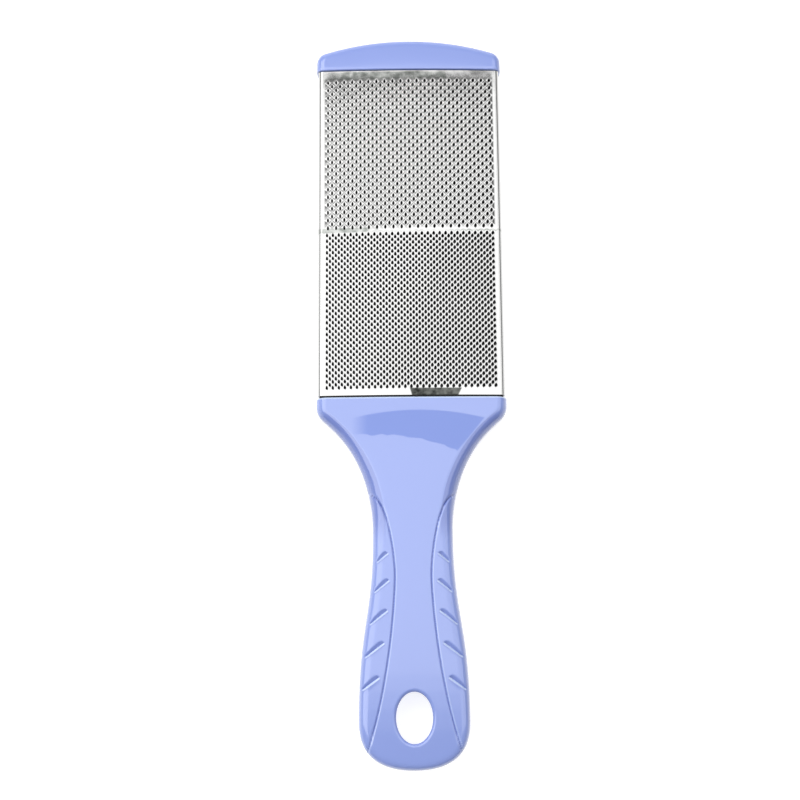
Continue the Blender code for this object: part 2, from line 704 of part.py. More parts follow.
def core_pockets(front):
    """The pockets on one face of the core, which leave its rim, its ribs and a web in the middle."""
    depth = SHEET + SEAT_GAP
    half = HEAD_HALF - depth - CORE_RIM
    start, end = SHEET_START_Y + CORE_RIM, SHEET_END_Y - CORE_RIM
    bay_x = (2 * half - (CORE_BAY_COLUMNS - 1) * CORE_RIB) / CORE_BAY_COLUMNS
    bay_y = (end - start - (CORE_BAY_ROWS - 1) * CORE_RIB) / CORE_BAY_ROWS
    web = (HEAD_BACK_Z + HEAD_FRONT_Z) / 2
    floor = web + CORE_WEB / 2 if front else web - CORE_WEB / 2
    open_z = HEAD_FRONT_Z + CUT_OVERRUN if front else HEAD_BACK_Z - CUT_OVERRUN
    shape = bmesh.new()
    for i in range(CORE_BAY_COLUMNS):
        for j in range(CORE_BAY_ROWS):
            x = -half + i * (bay_x + CORE_RIB) + bay_x / 2
            y = start + j * (bay_y + CORE_RIB) + bay_y / 2
            size = Matrix.Diagonal((bay_x, bay_y, abs(open_z - floor), 1))
            place = Matrix.Translation((x, y, (open_z + floor) / 2))
            bmesh.ops.create_cube(shape, size=1, matrix=place @ size)
    return finish_mesh(f"{'front' if front else 'back'} pockets", shape)


def cap_pocket_size():
    """Half width, low and high of the pocket that takes the core's spigot."""
    return CAP_WIDTH / 2 - CAP_WALL, CAP_BACK_Z + CAP_WALL, CAP_FRONT_Z - CAP_WALL - CROWN_SAG


def spigot(grow, start_y, end_y, name):
    half, low, high = cap_pocket_size()
    inside = SEAT_GAP - grow
    return block(name, (inside - half, start_y, low + inside), (half - inside, end_y, high - inside))


def core_frame(material):
    """The ribbed paddle inside the sheet, with the tang on one end and the cap's spigot on the other."""
    right, crown, left = head_section(SHEET + SEAT_GAP)
    section = right[1:] + crown + left[:-1]
    rings = [[(x, y, z) for x, z in section] for y in (SHEET_START_Y, SHEET_END_Y)]
    core = loft("core_frame", rings)
    core.data.materials.append(material)
    combine(core, "pockets", [core_pockets(True), core_pockets(False)])
    tip_y = CAP_FACE_Y + SPIGOT_LENGTH
    tang = tang_solid("tang", SHEET_START_Y + CORE_RIM / 2, 0)
    combine(core, "ends", [tang, spigot(0, SHEET_END_Y - CORE_RIM / 2, tip_y, "spigot")], "UNION")
    cuts = []
    for number, (x, y) in enumerate(pin_places()[:2]):
        cuts.append(post(f"tang hole {number}", PIN_R + PIN_PLAY, x, y, 0, GRIP_FRONT_Z))
    half, low, high = cap_pocket_size()
    half -= SEAT_GAP + SPIGOT_WALL
    low += SEAT_GAP + SPIGOT_WALL
    high -= SEAT_GAP + SPIGOT_WALL
    bay = (2 * half - (SPIGOT_COLUMNS - 1) * SPIGOT_WALL) / SPIGOT_COLUMNS
    for number in range(SPIGOT_COLUMNS):
        x = -half + number * (bay + SPIGOT_WALL)
        far = (x + bay, tip_y + CUT_OVERRUN, high)
        cuts.append(block(f"spigot pocket {number}", (x, CAP_FACE_Y, low), far))
    combine(core, "holes", cuts)
    return core


def cap_outline():
    """The right side of the cap from its face, round the corner and along the arch to the centre line."""
    half = CAP_WIDTH / 2
    arch_y = TIP_Y - CAP_ARCH_R
    corner_x = half - CAP_CORNER_R
    corner_y = arch_y + math.sqrt((CAP_ARCH_R - CAP_CORNER_R) ** 2 - corner_x**2)
    arch_turn = math.asin(corner_x / (CAP_ARCH_R - CAP_CORNER_R))
    points = [(half, CAP_FACE_Y), (half, (CAP_FACE_Y + corner_y) / 2)]
    for k in range(CORNER_STEPS + 1):
        turn = (math.pi / 2 - arch_turn) * k / CORNER_STEPS
        points.append((corner_x + CAP_CORNER_R * math.cos(turn), corner_y + CAP_CORNER_R * math.sin(turn)))
    for k in range(1, CURVE_STEPS):
        turn = arch_turn * (1 - k / CURVE_STEPS)
        points.append((CAP_ARCH_R * math.sin(turn), arch_y + CAP_ARCH_R * math.cos(turn)))
    return points + [(0, TIP_Y)]


def end_cap(material):
    """The arched cap, with a rounded edge on both sides and a pocket for the core's spigot."""
    outline = cap_outline()
    normals = inward_normals(outline, -1)

    def front(x, y):
        return CAP_FRONT_Z - crown_drop(x)

    def back(x, y):
        return CAP_BACK_Z

    rings = []
    for point, normal in zip(outline, normals):
        over = skin_row(point, normal, CAP_EDGE, PARTING_Z + SIDE_LAND, front, EDGE_STEPS, CROWN_STEPS)
        under = skin_row(point, normal, CAP_EDGE, PARTING_Z - SIDE_LAND, back, EDGE_STEPS, CROWN_STEPS)
        rings.append(over + list(reversed(under)))
    cap = loft("end_cap", rings, close_last=False)
    cap.data.materials.append(material)
    deep_y = CAP_FACE_Y + SPIGOT_LENGTH + SEAT_GAP
    combine(cap, "pocket", [spigot(SEAT_GAP, CAP_FACE_Y - CUT_OVERRUN, deep_y, "cap pocket")])
    return cap


def emery_pad(material):
    """The abrasive pad, a thin sheet with rounded corners."""
    half, reach = PAD_WIDTH / 2 - PAD_CORNER_R, PAD_LENGTH / 2 - PAD_CORNER_R
    middle_y = (SHEET_START_Y + SHEET_END_Y) / 2
    loop = []
    for quarter, (sx, sy) in enumerate(((1, 1), (-1, 1), (-1, -1), (1, -1))):
        for k in range(CORNER_STEPS + 1):
            turn = math.pi / 2 * (quarter + k / CORNER_STEPS)
            x = sx * half + PAD_CORNER_R * math.cos(turn)
            loop.append((x, middle_y + sy * reach + PAD_CORNER_R * math.sin(turn)))
    pad = loft("emery_pad", [[(x, y, z) for x, y in loop] for z in (0, PAD_THICKNESS)])
    pad.data.materials.append(material)
    return pad


def build():
    clear_scene()
    blue = make_material("periwinkle plastic", (0.366, 0.451, 0.831), 0.18, 0.0)
    core_plastic = make_material("core plastic", (0.35, 0.43, 0.78), 0.45, 0.0)
    steel = make_material("polished steel", (0.80, 0.80, 0.79), 0.16, 1.0)
    emery = make_material("emery", (0.055, 0.055, 0.06), 0.9, 0.0)
    root = bpy.data.objects.new("foot_rasp", None)
    bpy.context.collection.objects.link(root)
    pieces = [
        handle_shell(1, blue),
        handle_shell(-1, blue),
        core_frame(core_plastic),
        rasp_sleeve(steel),
        end_cap(blue),
        emery_pad(emery),
    ]
    for piece in pieces:
        piece.parent = root


build()
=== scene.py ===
import math

import bmesh
import bpy
import numpy as np
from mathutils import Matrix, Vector


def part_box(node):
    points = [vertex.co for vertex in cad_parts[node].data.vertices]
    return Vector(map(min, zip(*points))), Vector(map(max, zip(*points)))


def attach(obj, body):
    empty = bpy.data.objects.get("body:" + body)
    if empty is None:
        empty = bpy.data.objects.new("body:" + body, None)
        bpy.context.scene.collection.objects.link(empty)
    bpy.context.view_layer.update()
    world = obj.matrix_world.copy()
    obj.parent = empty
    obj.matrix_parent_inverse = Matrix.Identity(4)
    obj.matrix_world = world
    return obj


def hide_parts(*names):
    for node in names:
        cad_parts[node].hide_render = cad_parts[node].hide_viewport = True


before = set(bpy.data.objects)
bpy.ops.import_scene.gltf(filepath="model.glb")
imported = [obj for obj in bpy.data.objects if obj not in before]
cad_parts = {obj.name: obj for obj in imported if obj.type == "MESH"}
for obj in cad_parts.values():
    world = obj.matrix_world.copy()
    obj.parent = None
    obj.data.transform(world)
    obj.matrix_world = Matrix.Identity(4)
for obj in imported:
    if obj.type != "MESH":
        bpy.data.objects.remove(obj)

mm = 0.001
join = np.concatenate
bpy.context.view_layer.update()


# what every piece shares

def metres(**lengths):  # a dictionary of lengths and tuples of lengths, given in millimetres
    return {
        name: tuple(part * mm for part in length) if isinstance(length, tuple) else length * mm
        for name, length in lengths.items()
    }


def bezierCurve(start, startHandle, endHandle, end, count):
    # cubic: the four points weighed by (1-t)^3, 3(1-t)^2 t, 3(1-t) t^2 and t^3
    t = np.linspace(0, 1, count)[:, None]
    corners = [np.array(point) for point in (start, startHandle, endHandle, end)]
    weights = ((1 - t) ** 3, 3 * (1 - t) ** 2 * t, 3 * (1 - t) * t ** 2, t ** 3)
    return sum(weight * corner for weight, corner in zip(weights, corners))


def between(low, high, share):
    return low + (high - low) * share


def smoothStep(low, high, value):  # 0 up to low, 1 from high, with level ends
    share = np.clip((value - low) / (high - low), 0, 1)
    return share * share * (3 - 2 * share)


def bell(value, middle, width):  # exp of minus the square of the distance to the middle in widths
    return np.exp(-((value - middle) / width) ** 2)


def unit(vectors):
    return vectors / np.maximum(np.linalg.norm(vectors, axis=-1, keepdims=True), 1e-12)


def stepLengths(line):
    return np.linalg.norm(np.diff(line, axis=0), axis=1)


def runningSum(steps):
    return join([[0], np.cumsum(steps)])


def spreadAlong(line, spacing):  # points of a line at the wanted spacing, which may change along it
    steps = stepLengths(line)
    length = runningSum(steps)
    density = runningSum(steps / ((spacing[1:] + spacing[:-1]) / 2))
    places = np.interp(np.linspace(0, density[-1], int(density[-1]) + 1), density, length)
    return np.stack([np.interp(places, length, line[:, axis]) for axis in (0, 1)], axis=1)


def inwardNormals(line, turn):  # square to the outline, towards the middle; turn is 1 where it runs to the butt
    along = np.gradient(line, axis=0)
    along[0] = (0, -turn)
    along[-1] = (-1, 0)
    along = unit(along)
    return np.stack([along[:, 1], -along[:, 0]], axis=1) * turn


def edgeProfile(power, steps):
    # inset and rise of a superellipse quarter, (1 - inset)^power + rise^power = 1, evenly spaced along it
    turns = np.linspace(0, math.pi / 2, 600)
    inset = 1 - np.cos(turns) ** (2 / power)
    rise = np.sin(turns) ** (2 / power)
    length = runningSum(np.hypot(np.diff(inset), np.diff(rise)))
    places = np.linspace(0, length[-1], steps)
    return np.interp(places, length, inset), np.interp(places, length, rise)


def roundedRim(edge, faceY, inwards, radius, half, middle, tall):
    # rows from a flat end face back to the skin: a quarter round, by which the section shrinks towards the face
    rows = []
    for turn in (1.0, 0.66, 0.33):
        inset = radius * (1 - math.cos(turn * math.pi / 2))
        row = edge.copy()
        row[:, 0] *= 1 - inset / half
        row[:, 1] = faceY + inwards * radius * (1 - math.sin(turn * math.pi / 2))
        row[:, 2] = middle + (row[:, 2] - middle) * (1 - inset / tall)
        rows.append(row)
    return np.array(rows).transpose(1, 0, 2)


def addObject(name, data, place=(0, 0, 0), turn=(0, 0, 0)):
    thing = bpy.data.objects.new(name, data)
    thing.location = place
    thing.rotation_euler = turn
    bpy.context.scene.collection.objects.link(thing)
    return thing


def gridQuads(index):  # quads of a grid of vertex numbers
    return np.stack([index[:-1, :-1], index[:-1, 1:], index[1:, 1:], index[1:, :-1]], axis=-1).reshape(-1, 4)


def withMirror(right, quads):  # the right half's points and quads, and the left's
    return join([right, right * (-1, 1, 1)]), [quads, quads[:, ::-1] + len(right)]


def makePiece(name, points, faces, node, tone=None, smoothAngle=40):
    counts = join([np.full(len(group), group.shape[1]) for group in faces])
    corners = join([group.ravel() for group in faces])
    mesh = bpy.data.meshes.new(name)
    mesh.vertices.add(len(points))
    mesh.vertices.foreach_set("co", np.asarray(points, np.float32).ravel())
    if tone is not None:  # painted shade (below 0) or painted highlight (above 0) on the surface
        mesh.attributes.new("tone", "FLOAT", "POINT").data.foreach_set("value", np.asarray(tone, np.float32))
    mesh.loops.add(len(corners))
    mesh.loops.foreach_set("vertex_index", corners.astype(np.int32))
    mesh.polygons.add(len(counts))
    mesh.polygons.foreach_set("loop_start", runningSum(counts)[:-1].astype(np.int32))
    mesh.update(calc_edges=True)
    mesh.validate()
    shape = bmesh.new()
    shape.from_mesh(mesh)
    bmesh.ops.remove_doubles(shape, verts=shape.verts, dist=0.002 * mm)
    loose = [vert for vert in shape.verts if not vert.link_faces]
    bmesh.ops.delete(shape, geom=loose, context="VERTS")
    bmesh.ops.recalc_face_normals(shape, faces=shape.faces)
    openEdges = sum(len(edge.link_faces) != 2 for edge in shape.edges)
    triangles = sum(len(face.verts) - 2 for face in shape.faces)
    shape.to_mesh(mesh)
    shape.free()
    mesh.shade_smooth()
    mesh.set_sharp_from_angle(angle=math.radians(smoothAngle))
    piece = addObject(name, mesh)
    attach(piece, "root")
    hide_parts(node)
    print(name, "triangles", triangles, "open edges", openEdges)
    return piece


# the handle: two moulded halves

handle = metres(
    parting=5.8,
    seam=0.1, seamRound=0.18,  # gap between the halves
    rim=2.9, cornerR=6.2,      # straight side of the shoulder, and the arc below it
    flareReach=3.9, waistReachUp=27.2, waistHalf=13.5, waistDrop=47.1, waistReachDown=27.0,
    swellHalf=18.35, swellRise=16.3, swellReachUp=31.0, swellReachDown=4.6, endReach=18.05, faceRound=0.55,
    shoulderFront=11.3, shoulderBack=0.4, gripDrop=76.4, gripFront=14.6, endFront=11.6, endBack=1.4,
    edgeShoulder=3.6, edgeGrip=5.6, edgeEnd=4.2, land=1.0, crown=0.7,
    buttFade=(7, 3),           # how high above the end the painted shade round the butt starts and is full
    flareFade=(3, 8),          # how far below the shoulder the flare's painted shade starts and is full
    waistFade=(-4, 6),         # how high above the waist it is gone and full
    fineStep=0.23, plainStep=0.60, fineFrom=(-44, -50), fineTo=(-112, -106),
    splitRise=1.5,             # where the rows begin to run round the hang hole
) | {
    "flareTurn": math.radians(45),
    "powers": (2.1, 4),        # how square the edge is, at the shoulder and below the waist
    "powerFade": (0.6, 1.05),  # where it changes, in shares of the way to the waist
    # the rim's tone is a painted highlight on the shoulder face's rounded rim; the butt's and the flare's are painted
    # shade on the edge
    "rimTone": 0.8, "buttTone": 0.6, "flareTone": 0.42,
    "seamSteps": 4, "edgeSteps": 32, "crownSteps": 70, "sideSteps": 20, "arcSteps": 60, "curveSteps": 500,
    "endSteps": 400,
}
groove = metres(
    depth=0.42,
    floor=0.02, reach=0.50,    # half widths of the level bottom and over the lips
    line=0.20,                 # half width of the painted shade line in it
    shine=0.48, shineWidth=0.18,  # how far beside it the painted highlight line runs
    waistX=6.05, waistDrop=60.6, topDrop=33.7, topReach=6.7, waistReachUp=5.0, waistReachDown=7.9,
    endRise=5.9, endReachX=7.4, endReachY=20.5, wrap=2.5,
) | {
    # the line's tone is painted shade in the groove's bottom; the shine's is a painted highlight beside it
    "lineTone": 0.8, "shineTone": 0.50,
    "steps": (120, 160, 12),   # of the upper curve, the lower curve and the drops down the side
}
slots = metres(
    firstDrop=54.8, lastDrop=95.9, depth=0.50, wall=0.42, lip=0.05,
    scoop=1.20,                # width of the upper wall half way along
    probe=0.7,                 # step for the skin's slope
    skinReach=3,               # a slot marks only points this near to its plane
    shadeReach=0.45, shineTop=0.05,
    shine=(-0.28, 0.25), dull=(-0.80, 0.20),  # place and width of the painted highlight line below it and of a painted shade line
) | {
    "lengthShares": (0.69, 0.80, 0.88, 0.91, 0.88), "placeShare": 0.545, "scoopTaper": 0.45,
    "spread": 1.06,            # above 1 the lower slots stand further apart
    "turns": (39, 35),         # degrees, the first slot's and the last's
    "shade": (0.30, 0.90),     # painted shade on the upper wall, from its lip to the deepest line
    "shadeEdges": (0.12, 0.1), "endFade": 0.88, "shineTone": 1.3, "dullTone": 0.45,
}
hangHole = metres(half=6.0, tall=8.3, rise=16.95, fillet=1.1) | {"filletSteps": 8, "wallSteps": 4}

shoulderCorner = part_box("handle_front_shell")
shoulderY = shoulderCorner[1].y
buttY = shoulderCorner[0].y
shoulderHalf = shoulderCorner[1].x
gripY = shoulderY - handle["gripDrop"]
waistY = shoulderY - handle["waistDrop"]
swellY = buttY + handle["swellRise"]
hangY = buttY + hangHole["rise"]


def handleOutline():
    # down the straight side, round the corner arc, then three cubics: flare to waist, waist to swell, round the end
    turns = np.linspace(0, handle["flareTurn"], handle["arcSteps"])
    arcX = shoulderHalf - handle["cornerR"] * (1 - np.cos(turns))
    arcY = shoulderY - handle["rim"] - handle["cornerR"] * np.sin(turns)
    count = handle["sideSteps"]
    side = np.stack([np.full(count, shoulderHalf), np.linspace(shoulderY, arcY[0], count, endpoint=False)], axis=1)
    corner = np.array((arcX[-1], arcY[-1]))
    leave = corner - handle["flareReach"] * np.array((math.sin(handle["flareTurn"]), math.cos(handle["flareTurn"])))
    waist = np.array((handle["waistHalf"], waistY))
    swell = np.array((handle["swellHalf"], swellY))
    down = np.array((0, -1))
    count = handle["curveSteps"]
    flare = bezierCurve(corner, leave, waist - down * handle["waistReachUp"], waist, count)
    palmHandles = waist + down * handle["waistReachDown"], swell - down * handle["swellReachUp"]
    palm = bezierCurve(waist, *palmHandles, swell, count)
    endHandles = swell + down * handle["swellReachDown"], (handle["endReach"], buttY)
    end = bezierCurve(swell, *endHandles, (0, buttY), handle["endSteps"])
    line = join([side, np.stack([arcX, arcY], axis=1), flare[1:], palm[1:], end[1:]])
    fine = smoothStep(*handle["fineFrom"], line[:, 1]) * smoothStep(*handle["fineTo"], line[:, 1])
    return spreadAlong(line, between(handle["plainStep"], handle["fineStep"], fine))


outline = handleOutline()
outlineIn = inwardNormals(outline, 1)


def halfWidth(y):
    return np.interp(-y, -outline[:, 1], outline[:, 0])


def heightAlong(y, shoulderZ, gripZ, endZ):
    # eases from the shoulder to the grip, then falls to the end as a quarter cosine
    up = between(shoulderZ, gripZ, smoothStep(0, 1, (shoulderY - y) / handle["gripDrop"]))
    share = np.clip((gripY - y) / (gripY - buttY), 0, 1)
    return np.where(y > gripY, up, between(endZ, gripZ, np.cos(share * math.pi / 2)))


def crownZ(side, x, y):  # the length's height, less a parabola across
    if side > 0:
        middle = heightAlong(y, handle["shoulderFront"], handle["gripFront"], handle["endFront"])
    else:
        middle = heightAlong(y, handle["shoulderBack"], 0, handle["endBack"])
    return middle - side * handle["crown"] * (x / halfWidth(np.maximum(y, swellY))) ** 2


def edgeWidth(y):
    wide = smoothStep(0, 1, (shoulderY - y) / handle["waistDrop"])
    narrow = smoothStep(0, 1, (gripY - y) / (gripY - buttY))
    upper = between(handle["edgeShoulder"], handle["edgeGrip"], wide)
    return np.where(y > gripY, upper, between(handle["edgeGrip"], handle["edgeEnd"], narrow))


def edgeBlend(y):  # from the first of the two powers to the second
    return smoothStep(*handle["powerFade"], (shoulderY - y) / handle["waistDrop"])


def skinZ(x, y):  # the front skin: a superellipse quarter over the edge band, the crown inside it
    spread = np.linalg.norm(outline[None] - np.stack([np.abs(x), y], axis=-1)[:, None], axis=-1)
    reach = np.clip(spread.min(axis=1) / edgeWidth(y), 0, 1)
    land = handle["parting"] + handle["land"]
    power = between(*handle["powers"], edgeBlend(y))
    return land + (crownZ(1, x, y) - land) * (1 - (1 - reach) ** power) ** (1 / power)


def groovePath():  # in from the edge, down past the waist and out to the edge, then down the side at both ends
    topY, endY = shoulderY - groove["topDrop"], buttY + groove["endRise"]
    top = np.array((halfWidth(topY), topY))
    waist = np.array((groove["waistX"], shoulderY - groove["waistDrop"]))
    end = np.array((halfWidth(endY), endY))
    upperSteps, lowerSteps, dropSteps = groove["steps"]
    upper = bezierCurve(top, top - (groove["topReach"], 0), waist + (0, groove["waistReachUp"]), waist, upperSteps)
    lowerHandles = waist - (0, groove["waistReachDown"]), end + (-groove["endReachX"], groove["endReachY"])
    lower = bezierCurve(waist, *lowerHandles, end, lowerSteps)
    line = join([upper, lower[1:]])
    path = np.column_stack([line, skinZ(line[:, 0], line[:, 1])])
    drop = np.linspace(groove["wrap"] + handle["land"], 0, dropSteps, endpoint=False)[:, None] * (0, 0, 1)
    return line, join([path[0] - drop, path, path[-1] - drop[::-1]])


def slotDepth(points, grooveLine):
    # along a slot the floor tapers to both ends; across it, it falls slowly from the upper side to a steep lower wall
    depth = np.zeros(points.shape[:2])
    tone = np.zeros(points.shape[:2])
    shares = slots["lengthShares"]
    for number, share in enumerate(shares):
        order = number / (len(shares) - 1)
        y = shoulderY - between(slots["firstDrop"], slots["lastDrop"], order ** slots["spread"])
        turn = math.radians(np.interp(order, (0, 1), slots["turns"]))
        innerX = np.interp(-y, -grooveLine[:, 1], grooveLine[:, 0])
        panel = halfWidth(y) - innerX
        x = innerX + panel * slots["placeShare"]
        probe = slots["probe"]
        xs, ys = x + probe * np.array((1, -1, 0, 0, 0)), y + probe * np.array((0, 0, 1, -1, 0))
        zs = skinZ(xs, ys)
        normal = unit(np.array(((zs[1] - zs[0]) / (2 * probe), (zs[3] - zs[2]) / (2 * probe), 1)))
        along = np.array((math.cos(turn), -math.sin(turn), 0))
        along[2] = -along[:2].dot(normal[:2]) / normal[2]
        along = unit(along)
        over = np.cross(normal, along)
        offset = points - np.array((x, y, zs[4]))
        a = offset @ along / (panel * share / 2)
        b = offset @ over
        near = (np.abs(a) < 1) & (np.abs(offset @ normal) < slots["skinReach"])
        lens = np.sqrt(np.clip(1 - a ** 4, 0, 1)) * (1 - slots["scoopTaper"] * a)
        floor = slots["depth"] * np.clip(1 - a ** 6, 0, 1)
        scoop = 1 - smoothStep(0, 1, b / np.maximum(slots["scoop"] * lens, 0.01 * mm))
        wall = 1 - smoothStep(0, slots["wall"], -b)
        cut = floor * np.where(b > 0, scoop, wall)
        lip = slots["lip"] * bell(b, -2 * slots["wall"], slots["wall"]) * np.clip(1 - a ** 2, 0, 1)
        depth += np.where(near, cut - lip, 0)
        # the tone paints shade on the upper wall, and below the slot a highlight line and a shade line
        scoopEdge, lensEdge = slots["shadeEdges"]
        shade = between(*slots["shade"], smoothStep(slots["shadeReach"], 0, b))
        shade = np.where(b > 0, shade, 0) * (scoop > scoopEdge) * (lens > lensEdge)
        shine = slots["shineTone"] * bell(b, *slots["shine"]) - slots["dullTone"] * bell(b, *slots["dull"])
        ends = smoothStep(1, slots["endFade"], np.abs(a))
        tone += np.where(near, ends * (shine * (b < slots["shineTop"]) - shade), 0)
    return depth, tone


def grooveDepth(points, path, line):
    # the painted highlight line runs on the same side of both grooves, so a tone is returned for each half's right
    # and left
    depth = np.zeros(points.shape[:2])
    tones = np.zeros((2, *points.shape[:2]))
    for row in range(len(points)):
        gap = np.linalg.norm(points[row][:, None] - path[None], axis=-1).min(axis=1)
        outside = np.where(points[row][:, 0] > np.interp(-points[row][:, 1], -line[:, 1], line[:, 0]), 1, -1)
        depth[row] = groove["depth"] * (1 - smoothStep(groove["floor"], groove["reach"], gap))
        creaseShade = groove["lineTone"] * (1 - smoothStep(groove["line"] / 2, groove["line"] * 1.5, gap))
        for number, side in enumerate((1, -1)):
            shine = bell(gap * outside * side, groove["shine"], groove["shineWidth"])
            tones[number, row] = groove["shineTone"] * shine - creaseShade
    return depth, tones


def handleHalf(side):
    # A half's skin is a grid. One way it follows the outline; the other it climbs the edge as a superellipse quarter
    # and crosses the crown to the centre line, or to the hang hole, which it meets with a fillet.
    parting = handle["parting"] + side * handle["seam"] / 2
    land = handle["parting"] + side * handle["land"]
    edge = edgeWidth(outline[:, 1])
    rows = []
    for turn in np.linspace(0, math.pi / 2, handle["seamSteps"]):
        inset = handle["seamRound"] * (1 - math.sin(turn))
        rise = handle["seamRound"] * (1 - math.cos(turn))
        rows.append(np.column_stack([outline + outlineIn * inset, np.full(len(outline), parting + side * rise)]))
    profiles = [edgeProfile(power, handle["edgeSteps"]) for power in handle["powers"]]
    blend = edgeBlend(outline[:, 1])
    for step in range(handle["edgeSteps"]):
        inset, rise = (between(first[step], second[step], blend) for first, second in zip(*profiles))
        line = outline + outlineIn * (edge * inset)[:, None]
        line[:, 0] = np.maximum(line[:, 0], 0)
        top = crownZ(side, line[:, 0], line[:, 1])
        rows.append(np.column_stack([line, land + (top - land) * rise]))
    filletEdge = (hangHole["half"] + hangHole["fillet"], hangHole["tall"] + hangHole["fillet"])
    holeTop = hangY + filletEdge[1]
    length = runningSum(stepLengths(outline))
    split = int(np.argmin(np.abs(outline[:, 1] - (holeTop + handle["splitRise"]))))
    turns = math.pi / 2 - math.pi * (length[split:] - length[split]) / (length[-1] - length[split])
    inner = np.zeros_like(outline)
    inner[: split + 1, 1] = shoulderY + (
        (outline[: split + 1, 1] - shoulderY) * (holeTop - shoulderY) / (outline[split, 1] - shoulderY)
    )
    inner[split:] = np.column_stack([filletEdge[0] * np.cos(turns), hangY + filletEdge[1] * np.sin(turns)])
    inner[-1, 0] = 0
    start = rows[-1][:, :2]
    for share in np.linspace(0, 1, handle["crownSteps"] + 1)[1:]:
        line = between(start, inner, share)
        rows.append(np.column_stack([line, crownZ(side, line[:, 0], line[:, 1])]))
    return np.array(rows), split, turns, parting


def holeWall(side, turns, parting):  # rows down the hang hole's fillet, a quarter round, and its straight wall
    rows = []
    for turn in np.linspace(math.pi / 2, 0, hangHole["filletSteps"] + 1)[1:]:
        grown = hangHole["fillet"] * (1 - math.cos(turn))
        x = (hangHole["half"] + grown) * np.cos(turns)
        y = hangY + (hangHole["tall"] + grown) * np.sin(turns)
        drop = hangHole["fillet"] * (1 - math.sin(turn))
        rows.append(np.column_stack([x, y, crownZ(side, x, y) - side * drop]))
    mouth = rows[-1]
    for share in np.linspace(0, 1, hangHole["wallSteps"] + 1)[1:]:
        wall = mouth.copy()
        wall[:, 2] += (parting - wall[:, 2]) * share
        rows.append(wall)
    rows = np.array(rows)
    rows[:, (0, -1), 0] = 0
    return rows


def edgeShade(y):  # painted shade round the butt on the lower half of the edge, and all over the flare's edge
    butt = smoothStep(*handle["buttFade"], y - buttY) * (np.arange(len(y)) < len(y) / 2)[:, None]
    flare = smoothStep(*handle["flareFade"], shoulderY - y) * smoothStep(*handle["waistFade"], y - waistY)
    return handle["buttTone"] * butt + handle["flareTone"] * flare


def handlePiece(side, name):
    skin, split, turns, parting = handleHalf(side)
    normal = unit(np.cross(np.gradient(skin, axis=0), np.gradient(skin, axis=1)))
    normal *= np.where(normal[len(normal) // 2, :, 2:3][None] * side < 0, -1, 1)
    grooveLine, path = groovePath()
    depth, tones = grooveDepth(skin, path, grooveLine)
    if side > 0:
        slotCut, slotTone = slotDepth(skin, grooveLine)
        depth = depth + slotCut
        tones += slotTone
    depth[0] = 0
    skin = skin - normal * depth[..., None]
    skin[..., 0] = np.maximum(skin[..., 0], 0)
    skin[-1, : split + 1, 0] = 0
    rowCount, columnCount = skin.shape[:2]

    tall = np.abs(skin[:, 0, 2] - parting).max()
    rim = roundedRim(skin[:, 0], shoulderY, -1, handle["faceRound"], shoulderHalf, parting, tall)
    rimCount = rim.shape[1]
    moved = outline[:, 1] > shoulderY - handle["faceRound"]
    skin[:, moved, 1] = shoulderY - handle["faceRound"]
    kept = ~moved | (np.arange(columnCount) == 0)
    skin = join([rim, skin[:, kept]], axis=1)
    # a painted highlight over the shoulder face's rounded rim
    tones = join([np.full((2, rowCount, rimCount), handle["rimTone"]), tones[:, :, kept]], axis=2)
    tones[:, :, rimCount] = handle["rimTone"]
    tones[:, : handle["edgeSteps"]] -= edgeShade(skin[: handle["edgeSteps"], :, 1])
    split += skin.shape[1] - columnCount
    columnCount = skin.shape[1]

    wall = holeWall(side, turns, parting)
    index = np.arange(rowCount * columnCount).reshape(rowCount, columnCount)
    holeIndex = index.size + np.arange(wall.shape[0] * wall.shape[1]).reshape(wall.shape[:2])
    holeGrid = join([index[-1:, split:], holeIndex])
    inner = skin[-1].copy()
    inner[:, 2] = parting
    inner[split:] = wall[-1]
    flatIndex = index.size + holeIndex.size + np.arange(columnCount)
    right = join([skin.reshape(-1, 3), wall.reshape(-1, 3), inner])
    total = len(right)
    quads = join([gridQuads(index), gridQuads(holeGrid), gridQuads(np.stack([flatIndex, index[0]]))])
    points, faces = withMirror(right, quads)
    endLoop = join([[flatIndex[0]], index[:, 0], index[::-1, 0] + total, [flatIndex[0] + total]])[None]
    tone = join([np.append(half.ravel(), np.zeros(total - half.size)) for half in tones])
    node = "handle_front_shell" if side > 0 else "handle_back_shell"
    return makePiece(name, points, faces + [endLoop], node, tone)


handleFront = handlePiece(1, "handleFront")
handleBack = handlePiece(-1, "handleBack")
print("handle halves made")


# the end cap

cap = metres(
    archR=103.7, cornerR=4.2, edge=3.2, land=1.0, faceRound=0.45, step=0.4,
    sag=0.9, sagHalf=29.6,     # how far the head's sides lie below its middle, sagHalf out
) | {
    "edgePower": 2.6, "innerShare": 0.55,
    "edgeSteps": 16, "crownSteps": 16, "sideSteps": 20, "arcSteps": 60, "archSteps": 200,
}


def crossDrop(x):  # a parabola across the head
    return cap["sag"] * (x / cap["sagHalf"]) ** 2


def capOutline(half, faceY, tipY):  # up the side, round the corner arc, then along the wide arch to the middle
    archY = tipY - cap["archR"]
    cornerX = half - cap["cornerR"]
    reach = cap["archR"] - cap["cornerR"]
    cornerY = archY + math.sqrt(reach ** 2 - cornerX ** 2)
    archTurn = math.asin(cornerX / reach)
    turns = np.linspace(0, math.pi / 2 - archTurn, cap["arcSteps"])
    count = cap["sideSteps"]
    side = np.stack([np.full(count, half), np.linspace(faceY, cornerY, count, endpoint=False)], axis=1)
    corner = np.stack([cornerX + cap["cornerR"] * np.cos(turns), cornerY + cap["cornerR"] * np.sin(turns)], axis=1)
    sweep = np.linspace(archTurn, 0, cap["archSteps"])[1:]
    arch = np.stack([cap["archR"] * np.sin(sweep), archY + cap["archR"] * np.cos(sweep)], axis=1)
    line = join([side, corner, arch])
    return spreadAlong(line, np.full(len(line), cap["step"]))


